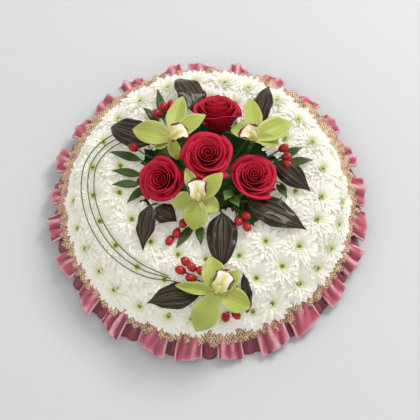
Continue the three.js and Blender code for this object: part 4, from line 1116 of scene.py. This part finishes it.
def makeNet():
    rng = np.random.RandomState(seeds["net"])
    count, gathers, fray = netPlan["points"], netPlan["gathers"], netPlan["frayStep"]
    turn = np.linspace(0, 2 * np.pi, count, endpoint=False)[None, :]
    s = np.linspace(0, 1, netPlan["rows"])[:, None]
    swell = np.sin(turn * gathers + 1.2 * np.sin(turn * 7 + 1))
    swell = swell + 0.5 * np.sin(turn * (gathers // 2) + 2 * np.sin(turn * 5))
    frayed = np.repeat(rng.uniform(*netPlan["fray"], count // fray), fray)[None, :]
    frayed = frayed + rng.uniform(*netPlan["fuzz"], count)[None, :]
    (footR, footZ), (rimR, rimZ) = netPlan["foot"], netPlan["rim"]
    radius = footR + (rimR - footR + netPlan["frontReach"] * np.clip(-np.sin(turn), 0, 1)) * s
    radius = radius + frayed * s**2 + 1.3 * np.cos(turn * gathers + 0.6) * s
    height = footZ + (rimZ - footZ) * s**1.2 + 1.9 * swell * s**0.8 + 0.4
    height = height + netPlan["backRise"] * np.sin(turn) * s
    grid = np.stack([radius * np.cos(turn), radius * np.sin(turn), height], -1)
    makeRibbon("netRibbon", grid, infoOf(turn / (2 * np.pi), s, 0.5, 0.5), netGold, "gold_net", 0.3)


makeSatin()
makeNet()
for node, look in padLooks.items():
    padFinish = padMaterial(look)
    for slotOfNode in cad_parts[node].material_slots:
        slotOfNode.material = padFinish
print("posy: edging and pad made")

# Floor, light and camera, with their places in metres.
studio = {
    "floor": {"Base Color": (0.70, 0.70, 0.70, 1), "Roughness": 0.9}, "floorReach": 6,
    "sky": {"Color": (0.97, 0.98, 1.0, 1), "Strength": 0.63}, "lampAim": (0, 0, 0.05),
    "lamps": {
        "key": {"place": (1.0, 0.95, 1.6), "size": 0.7, "energy": 23, "color": (1, 0.985, 0.965)},
        "fill": {"place": (-1.4, -1.0, 1.8), "size": 1.8, "energy": 7, "color": (0.98, 0.99, 1)},
    },
}
cameraPlan = {
    "place": (0.0025, -0.6419, 1.3695), "aim": (0.0025, -0.008, 0.010), "lens": 101.74, "sensor": 36,
    "nearest": 0.01,
}


def aimed(thing, place, target):
    thing.location = place
    thing.rotation_euler = (Vector(target) - Vector(place)).to_track_quat("-Z", "Y").to_euler()


def makeStudio():
    mesh = bpy.data.meshes.new("studioFloor")
    reach = studio["floorReach"]
    corners = [(-reach, -reach, 0), (reach, -reach, 0), (reach, reach, 0), (-reach, reach, 0)]
    mesh.from_pydata(corners, [], [(0, 1, 2, 3)])
    mesh.materials.append(plainMaterial("studioFloor", studio["floor"])[0])
    floor = addObject("studioFloor", mesh)
    world = bpy.data.worlds.new("studioSky")
    world.use_nodes = True
    setInputs(world.node_tree.nodes["Background"], studio["sky"])
    bpy.context.scene.world = world
    for name, plan in studio["lamps"].items():
        lamp = bpy.data.lights.new(name, "AREA")
        lamp.size, lamp.energy, lamp.color = plan["size"], plan["energy"], plan["color"]
        aimed(addObject(name, lamp), plan["place"], studio["lampAim"])
    lens = bpy.data.cameras.new("camera")
    lens.lens = cameraPlan["lens"]
    lens.sensor_width = cameraPlan["sensor"]
    lens.clip_start = cameraPlan["nearest"]
    camera = addObject("camera", lens)
    aimed(camera, cameraPlan["place"], cameraPlan["aim"])
    bpy.context.scene.camera = camera
    bpy.context.scene.view_settings.view_transform = "Standard"


makeStudio()
print("posy: studio made")
